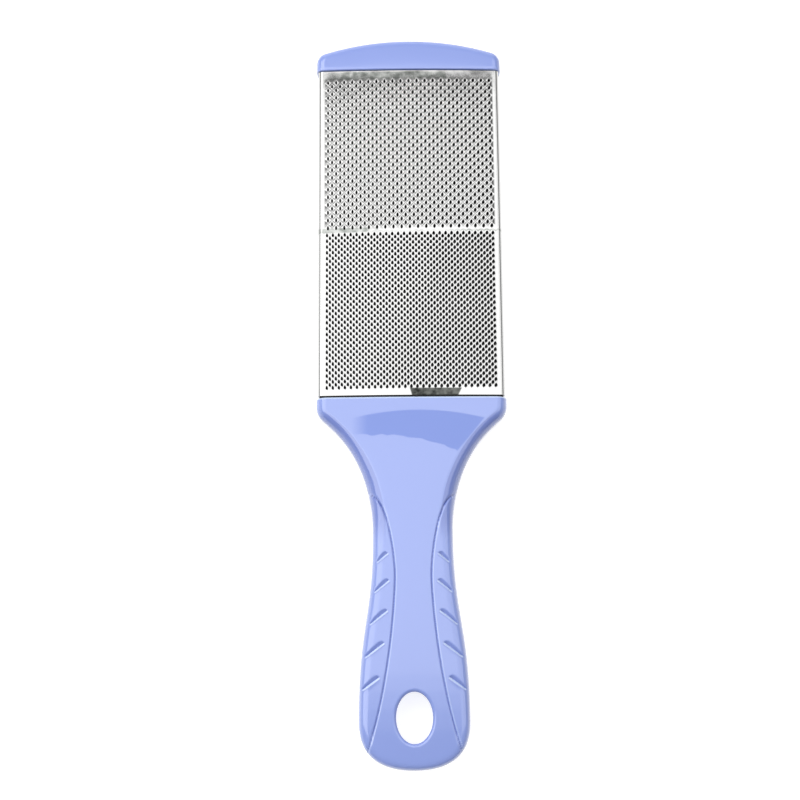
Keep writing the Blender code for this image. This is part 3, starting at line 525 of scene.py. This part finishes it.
def capPiece():
    # the same edge and crown on both sides of the middle plane, closed by the flat face that meets the steel
    low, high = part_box("end_cap")
    faceY = low.y
    line = capOutline(high.x, faceY, high.y)
    inward = inwardNormals(line, -1)
    middle = handle["parting"]
    inner = np.stack([np.zeros(len(line)), faceY + (line[:, 1] - faceY) * cap["innerShare"]], axis=1)

    def face(side, topZ):
        land = middle + side * cap["land"]
        rows = []
        for inset, rise in zip(*edgeProfile(cap["edgePower"], cap["edgeSteps"])):
            flat = line + inward * cap["edge"] * inset
            flat[:, 0] = np.maximum(flat[:, 0], 0)
            top = topZ - (side > 0) * crossDrop(flat[:, 0])
            rows.append(np.column_stack([flat, land + (top - land) * rise]))
        start = rows[-1][:, :2]
        for share in np.linspace(0, 1, cap["crownSteps"] + 1)[1:]:
            flat = between(start, inner, share)
            rows.append(np.column_stack([flat, topZ - (side > 0) * crossDrop(flat[:, 0])]))
        return np.array(rows)

    skin = join([face(-1, low.z)[::-1], face(1, high.z)])
    rim = roundedRim(skin[:, 0], faceY, 1, cap["faceRound"], high.x, middle, high.z - middle)
    skin = join([rim, skin[:, line[:, 1] > faceY + cap["faceRound"]]], axis=1)
    index = np.arange(skin.shape[0] * skin.shape[1]).reshape(skin.shape[:2])
    points, faces = withMirror(skin.reshape(-1, 3), gridQuads(index))
    endLoop = join([index[:, 0], index[::-1, 0] + index.size])[None]
    return makePiece("endCap", points, faces + [endLoop], "end_cap")


endCap = capPiece()
print("end cap made")


# the rasp sleeve: folded sheet with punched teeth

sleeve = metres(
    sheet=0.5, edgeR=1.7, seam=0.4, zoneBand=2.63,
    thick=9.4,                 # the head's, over both sheets
    firstRowDrop=3.88,         # from the sheet's upper end
    gap=0.42,                  # between the sheet and the handle
    lipDrop=0.04,              # the hole's upper edge below the crest
    cleanSide=0.1, cleanEnd=0.8,  # seams get no painted shade this near to a zone's sides and ends
) | {
    # the hole's tones are painted shade: its wall dark, its bottom and the sheet's underside black
    "cornerSteps": 10, "backSteps": 4, "holeTones": (-0.9, -1),
    "skew": 0.011,             # how far the rows climb towards the right
    "lipSpread": 1.12,         # the crest's ring against the hole
}
# growth and lean: how much wider, and how much more aslant, the holes are towards the right; valley: painted shade on
# the seams where four teeth meet and between two
coarse = metres(pitch=2.85, row=1.4125, holeHalf=0.42, holeTall=0.72, footRise=0.02, crest=0.08, crestTop=0.01) | {
    "columns": 41, "rows": 39, "pinch": 0.28, "growth": 0.16, "lean": (0.05, 0.08), "footShare": 0.68,
    "valley": (-0.48, -1.0),
}
fine = metres(pitch=2.06, row=1.041, holeHalf=0.46, holeTall=0.69, footRise=0, crest=0.045, crestTop=0.01) | {
    "columns": 57, "rows": 53, "pinch": 0.36, "growth": 0.10, "lean": (0.03, 0.06), "footShare": 0,
    "valley": (-0.12, -0.16),
}


def firstRows():  # Y of the coarse zone's first row and of the fine one's
    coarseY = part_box("rasp_sleeve")[1].y - sleeve["firstRowDrop"]
    return coarseY, coarseY - (coarse["rows"] - 1) * coarse["row"] - sleeve["zoneBand"]


def toothZone(zone, firstY, topZ):
    # Teeth stand on every second point of a fine lattice, so each one fills a diamond. Its rings run from the
    # diamond's rim over a low foot to a sharp crest, highest below the hole, and down the hole's wall.
    rows, columns = zone["rows"], zone["columns"]
    stepX, stepY = zone["pitch"] / 2, zone["row"]
    xs = (np.arange(-1, columns + 1) - (columns - 1) / 2) * stepX
    ys = firstY - np.arange(-1, rows + 1) * stepY
    cornerX, cornerY = np.meshgrid(xs, ys)
    midX, midY = np.meshgrid((xs[:-1] + xs[1:]) / 2, (ys[:-1] + ys[1:]) / 2)
    flat = np.column_stack([np.append(cornerX, midX), np.append(cornerY, midY)])
    corners = np.arange(cornerX.size).reshape(cornerX.shape)
    mids = cornerX.size + np.arange(midX.size).reshape(midX.shape)
    i, j = np.nonzero((np.add.outer(np.arange(rows), np.arange(columns)) % 2) == 0)
    i, j = i + 1, j + 1
    rim = np.stack([
        corners[i, j + 1], mids[i - 1, j], corners[i - 1, j], mids[i - 1, j - 1],
        corners[i, j - 1], mids[i, j - 1], corners[i + 1, j], mids[i, j],
    ], axis=1)
    centre = np.stack([xs[j], ys[i]], axis=1)
    turns = np.arange(8) * math.pi / 4
    narrow = 1 - zone["pinch"] * np.sin(turns)  # a drop shape, narrow at its top
    hole = np.stack([zone["holeHalf"] * np.cos(turns) * narrow, zone["holeTall"] * np.sin(turns)], axis=1)
    diamond = np.where(np.arange(8) % 2, 0.5 / math.sqrt(0.5), 1)[:, None]
    foot = np.stack([stepX * np.cos(turns), stepY * np.sin(turns)], axis=1) * diamond * zone["footShare"]
    crest = between(zone["crestTop"], zone["crest"], ((1 - np.sin(turns)) / 2) ** 3)
    reach = centre[:, :1] / cap["sagHalf"]
    # painted shade down the hole: the wall dark, the bottom black
    wallTone, lowTone = sleeve["holeTones"]
    steps = [
        (hole * sleeve["lipSpread"], crest, 0), (hole, crest - sleeve["lipDrop"], wallTone),
        (hole, np.full(8, -sleeve["sheet"]), lowTone),
    ]
    if zone["footShare"]:
        steps.insert(0, (foot, np.full(8, zone["footRise"]), 0))
    inside = np.abs(flat[:, 0]) < xs[-1] - sleeve["cleanSide"]
    inside &= (flat[:, 1] < ys[0] - sleeve["cleanEnd"]) & (flat[:, 1] > ys[-1] + sleeve["cleanEnd"])
    points = [np.column_stack([flat, topZ - crossDrop(flat[:, 0])])]
    # painted shade on the seams between the teeth, not near the zone's sides and ends
    tones = [np.repeat(zone["valley"], (corners.size, mids.size)) * inside]
    rings = [rim]
    first = len(flat)
    for shape, rise, tone in steps:
        across, up = shape[None, :, 0], shape[None, :, 1]
        if shape is not foot:
            across = across * (1 + zone["growth"] * reach) + up * (zone["lean"][0] + zone["lean"][1] * reach)
        place = centre[:, None] + np.stack(np.broadcast_arrays(across, up), axis=-1)
        height = topZ - crossDrop(place[..., 0]) + rise[None]
        points.append(join([place, height[..., None]], axis=-1).reshape(-1, 3))
        tones.append(np.full(height.size, tone))
        rings.append(first + np.arange(height.size).reshape(-1, 8))
        first += height.size
    points.append(points[0] - (0, 0, sleeve["sheet"]))
    tones.append(np.full(len(flat), lowTone))
    rings.append(rim + first)
    faces = []
    for outerRing, innerRing in zip(rings[:-1], rings[1:]):
        nextOuter, nextInner = np.roll(outerRing, -1, axis=1), np.roll(innerRing, -1, axis=1)
        faces.append(np.stack([outerRing, nextOuter, nextInner, innerRing], axis=-1).reshape(-1, 4))

    # the half diamonds along the zone's four sides, then its corners
    across, down = np.arange(1, columns + 1), np.arange(1, rows + 1)
    last, side = rows + 1, columns + 1
    gaps = []
    for ends, middles, along, far in ((corners, mids, across, last), (corners.T, mids.T, down, side)):
        for edge, step in ((0, 1), (far, -1)):
            here = along[(edge + along) % 2 == 0]
            mid = min(edge, edge + step)
            gaps.append(np.stack([
                ends[edge, here - 1], middles[mid, here - 1], ends[edge + step, here], middles[mid, here],
                ends[edge, here + 1],
            ], axis=1))
    for row, rowIn in ((0, 1), (last, rows)):
        for column, columnIn in ((0, 1), (side, columns)):
            if (row + column) % 2 == 0:
                mid = mids[min(row, rowIn), min(column, columnIn)]
                gaps.append(np.array([[corners[row, column], corners[row, columnIn], mid, corners[rowIn, column]]]))
    faces += gaps + [gap + first for gap in gaps]

    def border(along, edge, end):  # places of the vertices that stay on a side
        return join([[0], along[(edge + along) % 2 == 1], [end]])

    points = join(points)
    points[:, 1] += sleeve["skew"] * points[:, 0]
    return {
        "points": points, "tones": join(tones), "faces": faces, "under": first,
        "top": corners[0, border(across, 0, side)], "low": corners[last, border(across, last, side)],
        "right": corners[border(down, side, last), side], "left": corners[border(down, side, last), 0],
    }


def ribbon(first, second, firstPlace, secondPlace):
    # fills the strip between two lines of vertices that run the same way, each edge taking the far point next to it
    firstMid = (firstPlace[1:] + firstPlace[:-1]) / 2
    secondMid = (secondPlace[1:] + secondPlace[:-1]) / 2
    toSecond = np.searchsorted(secondMid, firstMid)
    toFirst = np.searchsorted(firstMid, secondMid, side="right")
    return join([
        np.stack([first[:-1], first[1:], second[toSecond]], axis=1),
        np.stack([second[:-1], second[1:], first[toFirst]], axis=1),
    ])


def sleevePiece():
    low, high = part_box("rasp_sleeve")
    headLow = low.z
    top = headLow + sleeve["thick"]
    half = high.x
    lowY = low.y + sleeve["gap"]
    points, faces, start = [], [], 0

    def take(block):  # takes in a block of points and returns their numbers
        nonlocal start
        points.append(block.reshape(-1, 3))
        numbers = start + np.arange(block.size // 3).reshape(block.shape[:-1])
        start += numbers.size
        return numbers

    zones = [toothZone(zone, firstY, top) for zone, firstY in zip((coarse, fine), firstRows())]
    for zone in zones:
        faces += [group + start for group in zone["faces"]]
        zone["start"] = start
        take(zone["points"])
    every = join(points)

    # the plain part is a section carried along Y: the crown's side strips, the rolled edges and the back
    def section(depth):
        corner = sleeve["edgeR"] - depth
        flat = half - depth - corner
        shoulderZ = top - depth - crossDrop(cap["sagHalf"])
        turns = np.linspace(0, math.pi / 2, sleeve["cornerSteps"] + 1)
        upper = np.stack([flat + corner * np.sin(turns), shoulderZ - corner * (1 - np.cos(turns))], axis=1)
        lower = np.stack([flat + corner * np.cos(turns), headLow + depth + corner * (1 - np.sin(turns))], axis=1)
        back = np.linspace(flat, sleeve["seam"] / 2, sleeve["backSteps"] + 1)[1:]
        rest = np.stack([back, np.full(len(back), headLow + depth)], axis=1)
        return join([upper, lower, rest])

    for sign, key in ((1, "right"), (-1, "left")):
        own = every[join([zone["start"] + zone[key] for zone in zones])]
        ys = join([[high.y], own[:, 1], [lowY]])
        lineX = join([own[:1, 0], own[:, 0], own[-1:, 0]])
        skins = []
        for depth in (0, sleeve["sheet"]):
            first = np.column_stack([lineX, ys, top - depth - crossDrop(lineX)])
            body = [np.column_stack([np.full(len(ys), sign * x), ys, np.full(len(ys), z)]) for x, z in section(depth)]
            skins.append(take(np.stack([first, *body])))
            faces.append(gridQuads(skins[-1]))
        for rim in (np.s_[:, 0], np.s_[:, -1], np.s_[-1]):
            faces.append(gridQuads(np.stack([skin[rim] for skin in skins])))

    # the strips above, between and below the zones, with the zones' own points along them
    for zone, key, y in ((zones[0], "top", high.y), (zones[1], "low", lowY)):
        own = zone["start"] + zone[key]
        xs = every[own, 0]
        line = np.column_stack([xs, np.full(len(xs), y), top - crossDrop(xs)])
        outerLine = take(line)
        underLine = take(line - (0, 0, sleeve["sheet"]))
        for pair in ((own, outerLine), (own + zone["under"], underLine), (outerLine, underLine)):
            faces.append(gridQuads(np.stack(pair)))
    upper, lower = zones[0]["start"] + zones[0]["low"], zones[1]["start"] + zones[1]["top"]
    for upperDown, lowerDown in ((0, 0), (zones[0]["under"], zones[1]["under"])):
        upperLine, lowerLine = upper + upperDown, lower + lowerDown
        faces.append(ribbon(upperLine, lowerLine, every[upperLine, 0], every[lowerLine, 0]))
    allPoints = join(points)
    tone = np.zeros(len(allPoints))
    tone[: len(every)] = join([zone["tones"] for zone in zones])
    return makePiece("raspSleeve", allPoints, faces, "rasp_sleeve", tone, smoothAngle=10)


raspSleeve = sleevePiece()
print("rasp sleeve made")


# materials

def newMaterial(name, settings):
    material = bpy.data.materials.new(name)
    material.use_nodes = True
    inputs = material.node_tree.nodes["Principled BSDF"].inputs
    for label, value in settings.items():
        inputs[label].default_value = value
    return material, material.node_tree, inputs


def noiseGroup():  # slow waves and fine specks, as masks and as a height
    group = bpy.data.node_groups.new("surfaceNoise", "ShaderNodeTree")
    for label in ("Wave Scale", "Speck Scale"):
        group.interface.new_socket(label, in_out="INPUT", socket_type="NodeSocketFloat")
    for label in ("Wave", "Speck"):
        group.interface.new_socket(label, in_out="OUTPUT", socket_type="NodeSocketFloat")
    nodes, links = group.nodes, group.links
    entry, leave = nodes.new("NodeGroupInput"), nodes.new("NodeGroupOutput")
    place = nodes.new("ShaderNodeTexCoord")
    for label, detail in (("Wave", 2.0), ("Speck", 5.0)):
        noise = nodes.new("ShaderNodeTexNoise")
        noise.inputs["Detail"].default_value = detail
        links.new(place.outputs["Object"], noise.inputs["Vector"])
        links.new(entry.outputs[f"{label} Scale"], noise.inputs["Scale"])
        links.new(noise.outputs["Fac"], leave.inputs[label])
    return group


surfaceNoise = noiseGroup()


def addNoise(tree, scales):
    wear = tree.nodes.new("ShaderNodeGroup")
    wear.node_tree = surfaceNoise
    wear.inputs["Wave Scale"].default_value, wear.inputs["Speck Scale"].default_value = scales
    return wear.outputs


def rangeNode(tree, source, ends, low, high):
    step = tree.nodes.new("ShaderNodeMapRange")
    for end, value in zip(ends, (low, high)):
        step.inputs[end].default_value = value
    tree.links.new(source, step.inputs["Value"])
    return step.outputs["Result"]


def spreadTo(tree, source, low, high):  # low at 0, high at 1
    return rangeNode(tree, source, ("To Min", "To Max"), low, high)


def rampUp(tree, source, low, high):  # 0 at low, 1 at high
    return rangeNode(tree, source, ("From Min", "From Max"), low, high)


def maths(tree, operation, *terms):
    step = tree.nodes.new("ShaderNodeMath")
    step.operation = operation
    for number, term in enumerate(terms):
        if isinstance(term, (int, float)):
            step.inputs[number].default_value = term
        else:
            tree.links.new(term, step.inputs[number])
    return step.outputs["Value"]


def within(tree, mask, *limits):  # the mask, faded out beyond each limit's ramp
    for value, (low, high) in limits:
        mask = maths(tree, "MULTIPLY", mask, rampUp(tree, value, low, high))
    return mask


def mixColour(tree, factor, first, second):
    mix = tree.nodes.new("ShaderNodeMix")
    mix.data_type = "RGBA"
    sockets = [socket for socket in mix.inputs if socket.type == "RGBA"]
    for socket, colour in zip(sockets, (first, second)):
        if isinstance(colour, tuple):
            socket.default_value = (*colour, 1)
        else:
            tree.links.new(colour, socket)
    tree.links.new(factor, mix.inputs["Factor"])
    return next(socket for socket in mix.outputs if socket.type == "RGBA")


def addBump(tree, inputs, height, strength, distance):
    bump = tree.nodes.new("ShaderNodeBump")
    bump.inputs["Strength"].default_value = strength
    bump.inputs["Distance"].default_value = distance
    tree.links.new(height, bump.inputs["Height"])
    tree.links.new(bump.outputs["Normal"], inputs["Normal"])


def toneMask(tree, full):  # the piece's painted tone, 1 where it reaches full: -1 for painted shade, 1 for painted highlight
    tone = tree.nodes.new("ShaderNodeAttribute")
    tone.attribute_name = "tone"
    return rampUp(tree, tone.outputs["Fac"], 0, full)


def placeXYZ(tree):
    place, split = tree.nodes.new("ShaderNodeTexCoord"), tree.nodes.new("ShaderNodeSeparateXYZ")
    tree.links.new(place.outputs["Object"], split.inputs["Vector"])
    return split.outputs


frontZ = 8 * mm, 9 * mm  # painted marks stay on the front

# the third to fifth colours are painted: shade, highlight, and a dark reflection on the shoulder
plastic = {
    "light": (0.292, 0.378, 0.800), "deep": (0.280, 0.366, 0.785), "paintedShade": (0.085, 0.125, 0.44),
    "paintedHighlight": (0.62, 0.75, 1.0), "darkReflection": (0.205, 0.292, 0.713), "waves": (45, 900), "ripples": (260, 900),
    "rough": (0.12, 0.18), "coat": 1.0, "coatRough": 0.04, "coatIor": 1.6, "bump": (0.08, 0.4 * mm),
}
# where the shoulder's painted dark reflection lies
darkReflection = metres(
    topX=2, topY=-7.5, lowX=-10, lowY=-17.4,  # crests of the two parabolas; the lower one is level to its left
    ripple=2.0, rightX=33.4, soft=0.4, leftFade=(-20.5, -15.0),
) | {"topBend": 5.5, "lowBend": 9.0, "rightSlope": 0.82}


def darkReflectionPatch(tree, wave):
    # the painted dark reflection on the shoulder, where the coat is off: under a parabola, above a rippled one, left
    # of a slanting line; faint at its left
    x, y, z = placeXYZ(tree)
    offTop = maths(tree, "ADD", x, -darkReflection["topX"])
    top = maths(tree, "MULTIPLY_ADD", maths(tree, "MULTIPLY", offTop, offTop), -darkReflection["topBend"], darkReflection["topY"])
    offLow = maths(tree, "MAXIMUM", maths(tree, "ADD", x, -darkReflection["lowX"]), 0.0)
    low = maths(tree, "MULTIPLY_ADD", maths(tree, "MULTIPLY", offLow, offLow), -darkReflection["lowBend"], darkReflection["lowY"])
    low = maths(tree, "MULTIPLY_ADD", wave, darkReflection["ripple"], low)
    right = maths(tree, "MULTIPLY_ADD", y, darkReflection["rightSlope"], darkReflection["rightX"])
    inside = maths(tree, "MINIMUM", maths(tree, "SUBTRACT", top, y), maths(tree, "SUBTRACT", y, low))
    inside = maths(tree, "MINIMUM", inside, maths(tree, "SUBTRACT", right, x))
    return within(tree, rampUp(tree, inside, 0, darkReflection["soft"]), (x, darkReflection["leftFade"]), (z, frontZ))


def plasticMaterial():
    coat = {"Coat Roughness": plastic["coatRough"], "Coat IOR": plastic["coatIor"]}
    material, tree, inputs = newMaterial("periwinklePlastic", coat)
    wear = addNoise(tree, plastic["waves"])
    # the ripples give the painted dark reflection its rippled lower edge
    patch = darkReflectionPatch(tree, addNoise(tree, plastic["ripples"])["Wave"])
    colour = mixColour(tree, wear["Wave"], plastic["deep"], plastic["light"])
    # the painted dark reflection, painted shade and painted highlight go over the blue
    for mask, tint in ((patch, "darkReflection"), (toneMask(tree, -1), "paintedShade"), (toneMask(tree, 1), "paintedHighlight")):
        colour = mixColour(tree, mask, colour, plastic[tint])
    tree.links.new(colour, inputs["Base Color"])
    tree.links.new(spreadTo(tree, wear["Speck"], *plastic["rough"]), inputs["Roughness"])
    tree.links.new(spreadTo(tree, patch, plastic["coat"], 0), inputs["Coat Weight"])
    addBump(tree, inputs, wear["Wave"], *plastic["bump"])
    return material


# the third colour is painted shade; the next two are a painted dim reflection, the last two a painted dark reflection
steel = {
    "light": (0.62, 0.62, 0.615), "deep": (0.57, 0.57, 0.565), "paintedShade": (0.004, 0.004, 0.004),
    "dimReflection": (0.25, 0.265, 0.25), "dimReflectionLight": (0.46, 0.47, 0.455),
    "lowReflection": (0.02, 0.021, 0.02), "lowReflectionLight": (0.11, 0.114, 0.107),
    "waves": (120, 1500), "swirls": (380, 1500), "swirlEnds": (0.38, 0.62), "rough": (0.08, 0.14),
    "bump": (0.15, 0.5 * mm),
}
# the painted reflections on the plain sheet: a ramp runs from the place where a mark is gone to the place where it is
# full
margin = metres(
    ring=(1.05, 1.35), low=(0.5, 1.0), top=(0.10, -0.20), topWave=0.7, left=(-23, -18), right=(23, 20), sideWave=16,
)
band = metres(
    arcInside=(0.85, 1.00), arcOutside=(1.60, 1.30), arcLow=(0.2, 0.6), arcEnd=(20, 26),
    left=(-6, -10), leftLow=(0.6, 0.9), leftTop=(2.6, 2.2), sideWave=12,
) | {"arcTones": (0.45, 1.0)}
lowReflection = metres(left=(-0.8, -0.3), right=(17.4, 16.9), top=(0.3, -0.1)) | {"leftSlope": 0.3, "rightSlope": -0.5}


def overTeeth(tree, x, y, zone, firstY):  # height over a zone's first row, and distance to that row's next tooth
    aside = maths(tree, "PINGPONG", x, zone["pitch"] / 2)
    above = maths(tree, "MULTIPLY_ADD", x, -sleeve["skew"], maths(tree, "ADD", y, -firstY))
    squares = maths(tree, "ADD", maths(tree, "MULTIPLY", aside, aside), maths(tree, "MULTIPLY", above, above))
    return above, maths(tree, "SQRT", squares)


def marginReflection(tree, wave):
    # painted dim reflection on the plain sheet above the first row, but for a ring round each tooth, a bright rim and
    # the bare right end
    x, y, z = placeXYZ(tree)
    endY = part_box("rasp_sleeve")[1].y
    above, far = overTeeth(tree, x, y, coarse, firstRows()[0])
    rim = maths(tree, "MULTIPLY_ADD", wave, margin["topWave"], y)
    across = maths(tree, "MULTIPLY_ADD", wave, margin["sideWave"], x)
    rimEnds = [endY + place for place in margin["top"]]
    dimReflection = rampUp(tree, far, *margin["ring"])
    limits = (above, margin["low"]), (rim, rimEnds), (across, margin["left"]), (across, margin["right"]), (z, frontZ)
    return within(tree, dimReflection, *limits)


def bandReflection(tree, wave):
    # painted dim reflection on the plain band between the zones: at its left end, and an arc over each tooth,
    # stronger at the right
    x, y, z = placeXYZ(tree)
    above, far = overTeeth(tree, x, y, fine, firstRows()[1])
    across = maths(tree, "MULTIPLY_ADD", wave, band["sideWave"], x)
    arc = spreadTo(tree, rampUp(tree, across, *band["arcEnd"]), *band["arcTones"])
    arc = within(tree, arc, (far, band["arcInside"]), (far, band["arcOutside"]), (above, band["arcLow"]))
    left = within(tree, rampUp(tree, across, *band["left"]), (above, band["leftLow"]), (above, band["leftTop"]))
    return within(tree, maths(tree, "MAXIMUM", arc, left), (z, frontZ))


def lowReflectionMask(tree):  # the painted dark reflection below the last row, between two slanting ends
    x, y, z = placeXYZ(tree)
    left, right = (maths(tree, "MULTIPLY_ADD", y, lowReflection[slope], x) for slope in ("leftSlope", "rightSlope"))
    return within(tree, rampUp(tree, left, *lowReflection["left"]), (right, lowReflection["right"]), (y, lowReflection["top"]), (z, frontZ))


def steelMaterial():
    material, tree, inputs = newMaterial("polishedSteel", {"Metallic": 1.0})
    wear = addNoise(tree, steel["waves"])
    # the swirls pattern the painted reflections on the sheet
    swirl = addNoise(tree, steel["swirls"])["Wave"]
    swirls = rampUp(tree, swirl, *steel["swirlEnds"])
    colour = mixColour(tree, wear["Speck"], steel["deep"], steel["light"])
    # painted dim reflection on the plain sheet above and between the zones
    dimReflection = mixColour(tree, swirls, steel["dimReflection"], steel["dimReflectionLight"])
    for mask in (marginReflection, bandReflection):
        colour = mixColour(tree, mask(tree, swirl), colour, dimReflection)
    # painted dark reflection below the last row
    dark = mixColour(tree, swirls, steel["lowReflection"], steel["lowReflectionLight"])
    colour = mixColour(tree, lowReflectionMask(tree), colour, dark)
    # painted shade from the tone: dark seams between the teeth and black holes
    tree.links.new(mixColour(tree, toneMask(tree, -1), colour, steel["paintedShade"]), inputs["Base Color"])
    tree.links.new(spreadTo(tree, wear["Speck"], *steel["rough"]), inputs["Roughness"])
    addBump(tree, inputs, wear["Wave"], *steel["bump"])
    return material


grit = {
    "dark": (0.030, 0.030, 0.033), "light": (0.16, 0.16, 0.17), "sparkle": (0.52, 0.72), "waves": (30, 4000),
    "grains": 2600, "rough": 0.85, "bump": (0.9, 0.25 * mm),
}


def emeryMaterial():
    material, tree, inputs = newMaterial("emeryGrit", {"Roughness": grit["rough"]})
    place = tree.nodes.new("ShaderNodeTexCoord")
    grains = tree.nodes.new("ShaderNodeTexVoronoi")
    grains.inputs["Scale"].default_value = grit["grains"]
    tree.links.new(place.outputs["Object"], grains.inputs["Vector"])
    sparkle = rampUp(tree, addNoise(tree, grit["waves"])["Speck"], *grit["sparkle"])
    tree.links.new(mixColour(tree, sparkle, grit["dark"], grit["light"]), inputs["Base Color"])
    addBump(tree, inputs, grains.outputs["Distance"], *grit["bump"])
    return material


core = {
    "deep": (0.010, 0.010, 0.012), "light": (0.016, 0.016, 0.018), "waves": (60, 1200), "rough": 0.6,
    "bump": (0.1, 0.1 * mm),
}


def coreMaterial():
    material, tree, inputs = newMaterial("corePlastic", {"Roughness": core["rough"]})
    wear = addNoise(tree, core["waves"])
    tree.links.new(mixColour(tree, wear["Wave"], core["deep"], core["light"]), inputs["Base Color"])
    addBump(tree, inputs, wear["Speck"], *core["bump"])
    return material


def dress(thing, material):
    thing.data.materials.clear()
    thing.data.materials.append(material)


periwinkle = plasticMaterial()
for part in (handleFront, handleBack, endCap):
    dress(part, periwinkle)
dress(raspSleeve, steelMaterial())
dress(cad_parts["emery_pad"], emeryMaterial())
dress(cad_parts["core_frame"], coreMaterial())
for node in ("handle_front_shell", "handle_back_shell", "end_cap"):
    dress(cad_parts[node], periwinkle)
print("materials made")


# camera, floor and lamps

camera = metres(place=(-4.75, -109.75, 534.2)) | {
    "lens": 70.8, "sensor": 36, "clip": 0.01, "tilt": math.radians(11.4), "yaw": math.radians(-0.449),
}
studio = {
    "floorZ": -0.05 * mm,      # just clear of the pad's face
    "floorGlow": 0.80,         # what the camera sees on top of the lit paper
    "floorHalf": 3.0, "floorGrey": 0.55, "world": 0.22, "height": 1.2, "cardLength": 2.4,
    # soft boxes overhead: left, right, near and far edge, and how bright
    "boxes": {
        "mainBox": (-0.32, 0.34, -0.19, 0.633, 1.25),
        "nearBox": (-0.32, 0.34, -0.24, -0.19, 0.95),
        "nearerBox": (-0.32, 0.34, -0.29, -0.24, 0.63),
        "nearestBox": (-0.32, 0.34, -0.34, -0.29, 0.32),
        "leftBox": (-1.85, -0.32, -0.40, 0.90, 1.75),
        "rightBox": (0.34, 1.50, -0.40, 0.80, 0.95),
    },
    # upright cards at both sides: how far out, low and high edge, and how bright
    "cards": {"leftCard": (-1.9, 0.05, 0.75, 0.40), "rightCard": (1.9, 0.05, 0.75, 0.30)},
    "farCard": {"place": (0, 2.0, 0.8), "size": (2.4, 1.2), "bright": 0.5},
    "key": {"place": (-1.3, 0.9, 1.7), "size": (0.7, 0.7), "power": 14.0},
}


def placeCamera():
    data = bpy.data.cameras.new("camera")
    data.lens = camera["lens"]
    data.sensor_width = camera["sensor"]
    data.clip_start = camera["clip"]
    bpy.context.scene.camera = addObject("camera", data, camera["place"], (camera["tilt"], 0, camera["yaw"]))


def floorPiece():
    half = studio["floorHalf"]
    mesh = bpy.data.meshes.new("floor")
    corners = [(x, y, studio["floorZ"]) for x, y in ((-half, -half), (half, -half), (half, half), (-half, half))]
    mesh.from_pydata(corners, [], [(0, 1, 2, 3)])
    paper = {
        "Base Color": (*[studio["floorGrey"]] * 3, 1), "Roughness": 1.0, "Specular IOR Level": 0.0,
        "Emission Color": (1, 1, 1, 1),
    }
    material, tree, inputs = newMaterial("floorPaper", paper)
    path = tree.nodes.new("ShaderNodeLightPath")
    seen = maths(tree, "MAXIMUM", path.outputs["Is Camera Ray"], path.outputs["Is Glossy Ray"])
    tree.links.new(spreadTo(tree, seen, 0, studio["floorGlow"]), inputs["Emission Strength"])
    side = tree.nodes.new("ShaderNodeNewGeometry")  # clear when seen from below, so the pad can be looked at
    tree.links.new(spreadTo(tree, side.outputs["Backfacing"], 1, 0), inputs["Alpha"])
    mesh.materials.append(material)
    addObject("floor", mesh)


def areaLamp(name, place, size, power, turn):
    lamp = bpy.data.lights.new(name, "AREA")
    lamp.shape = "RECTANGLE"
    lamp.size, lamp.size_y = size
    lamp.energy = power
    return addObject(name, lamp, place, turn)


def softBox(name, place, size, bright, turn=(0, 0, 0)):  # the power goes with the area, so that bright compares
    areaLamp(name, place, size, 4 * bright * size[0] * size[1], turn)


def light():
    world = bpy.data.worlds.new("studio")
    world.use_nodes = True
    tree = world.node_tree
    background = tree.nodes["Background"]
    background.inputs["Color"].default_value = (1, 1, 1, 1)
    path = tree.nodes.new("ShaderNodeLightPath")  # white to the camera, dimmer as light
    seen = spreadTo(tree, path.outputs["Is Camera Ray"], studio["world"], 1)
    tree.links.new(seen, background.inputs["Strength"])
    bpy.context.scene.world = world
    for name, (left, right, near, far, bright) in studio["boxes"].items():
        place = ((left + right) / 2, (near + far) / 2, studio["height"])
        softBox(name, place, (right - left, far - near), bright)
    for name, (x, low, high, bright) in studio["cards"].items():
        turn = (0, math.copysign(math.pi / 2, x), 0)
        softBox(name, (x, 0, (low + high) / 2), (high - low, studio["cardLength"]), bright, turn)
    card = studio["farCard"]
    softBox("farCard", card["place"], card["size"], card["bright"], (-math.pi / 2, 0, 0))
    key = studio["key"]
    turn = (-Vector(key["place"])).to_track_quat("-Z", "Y").to_euler()
    lamp = areaLamp("key", key["place"], key["size"], key["power"], turn)
    lamp.visible_glossy = False


placeCamera()
floorPiece()
light()
bpy.context.scene.view_settings.view_transform = "Standard"
print("camera and lamps placed")
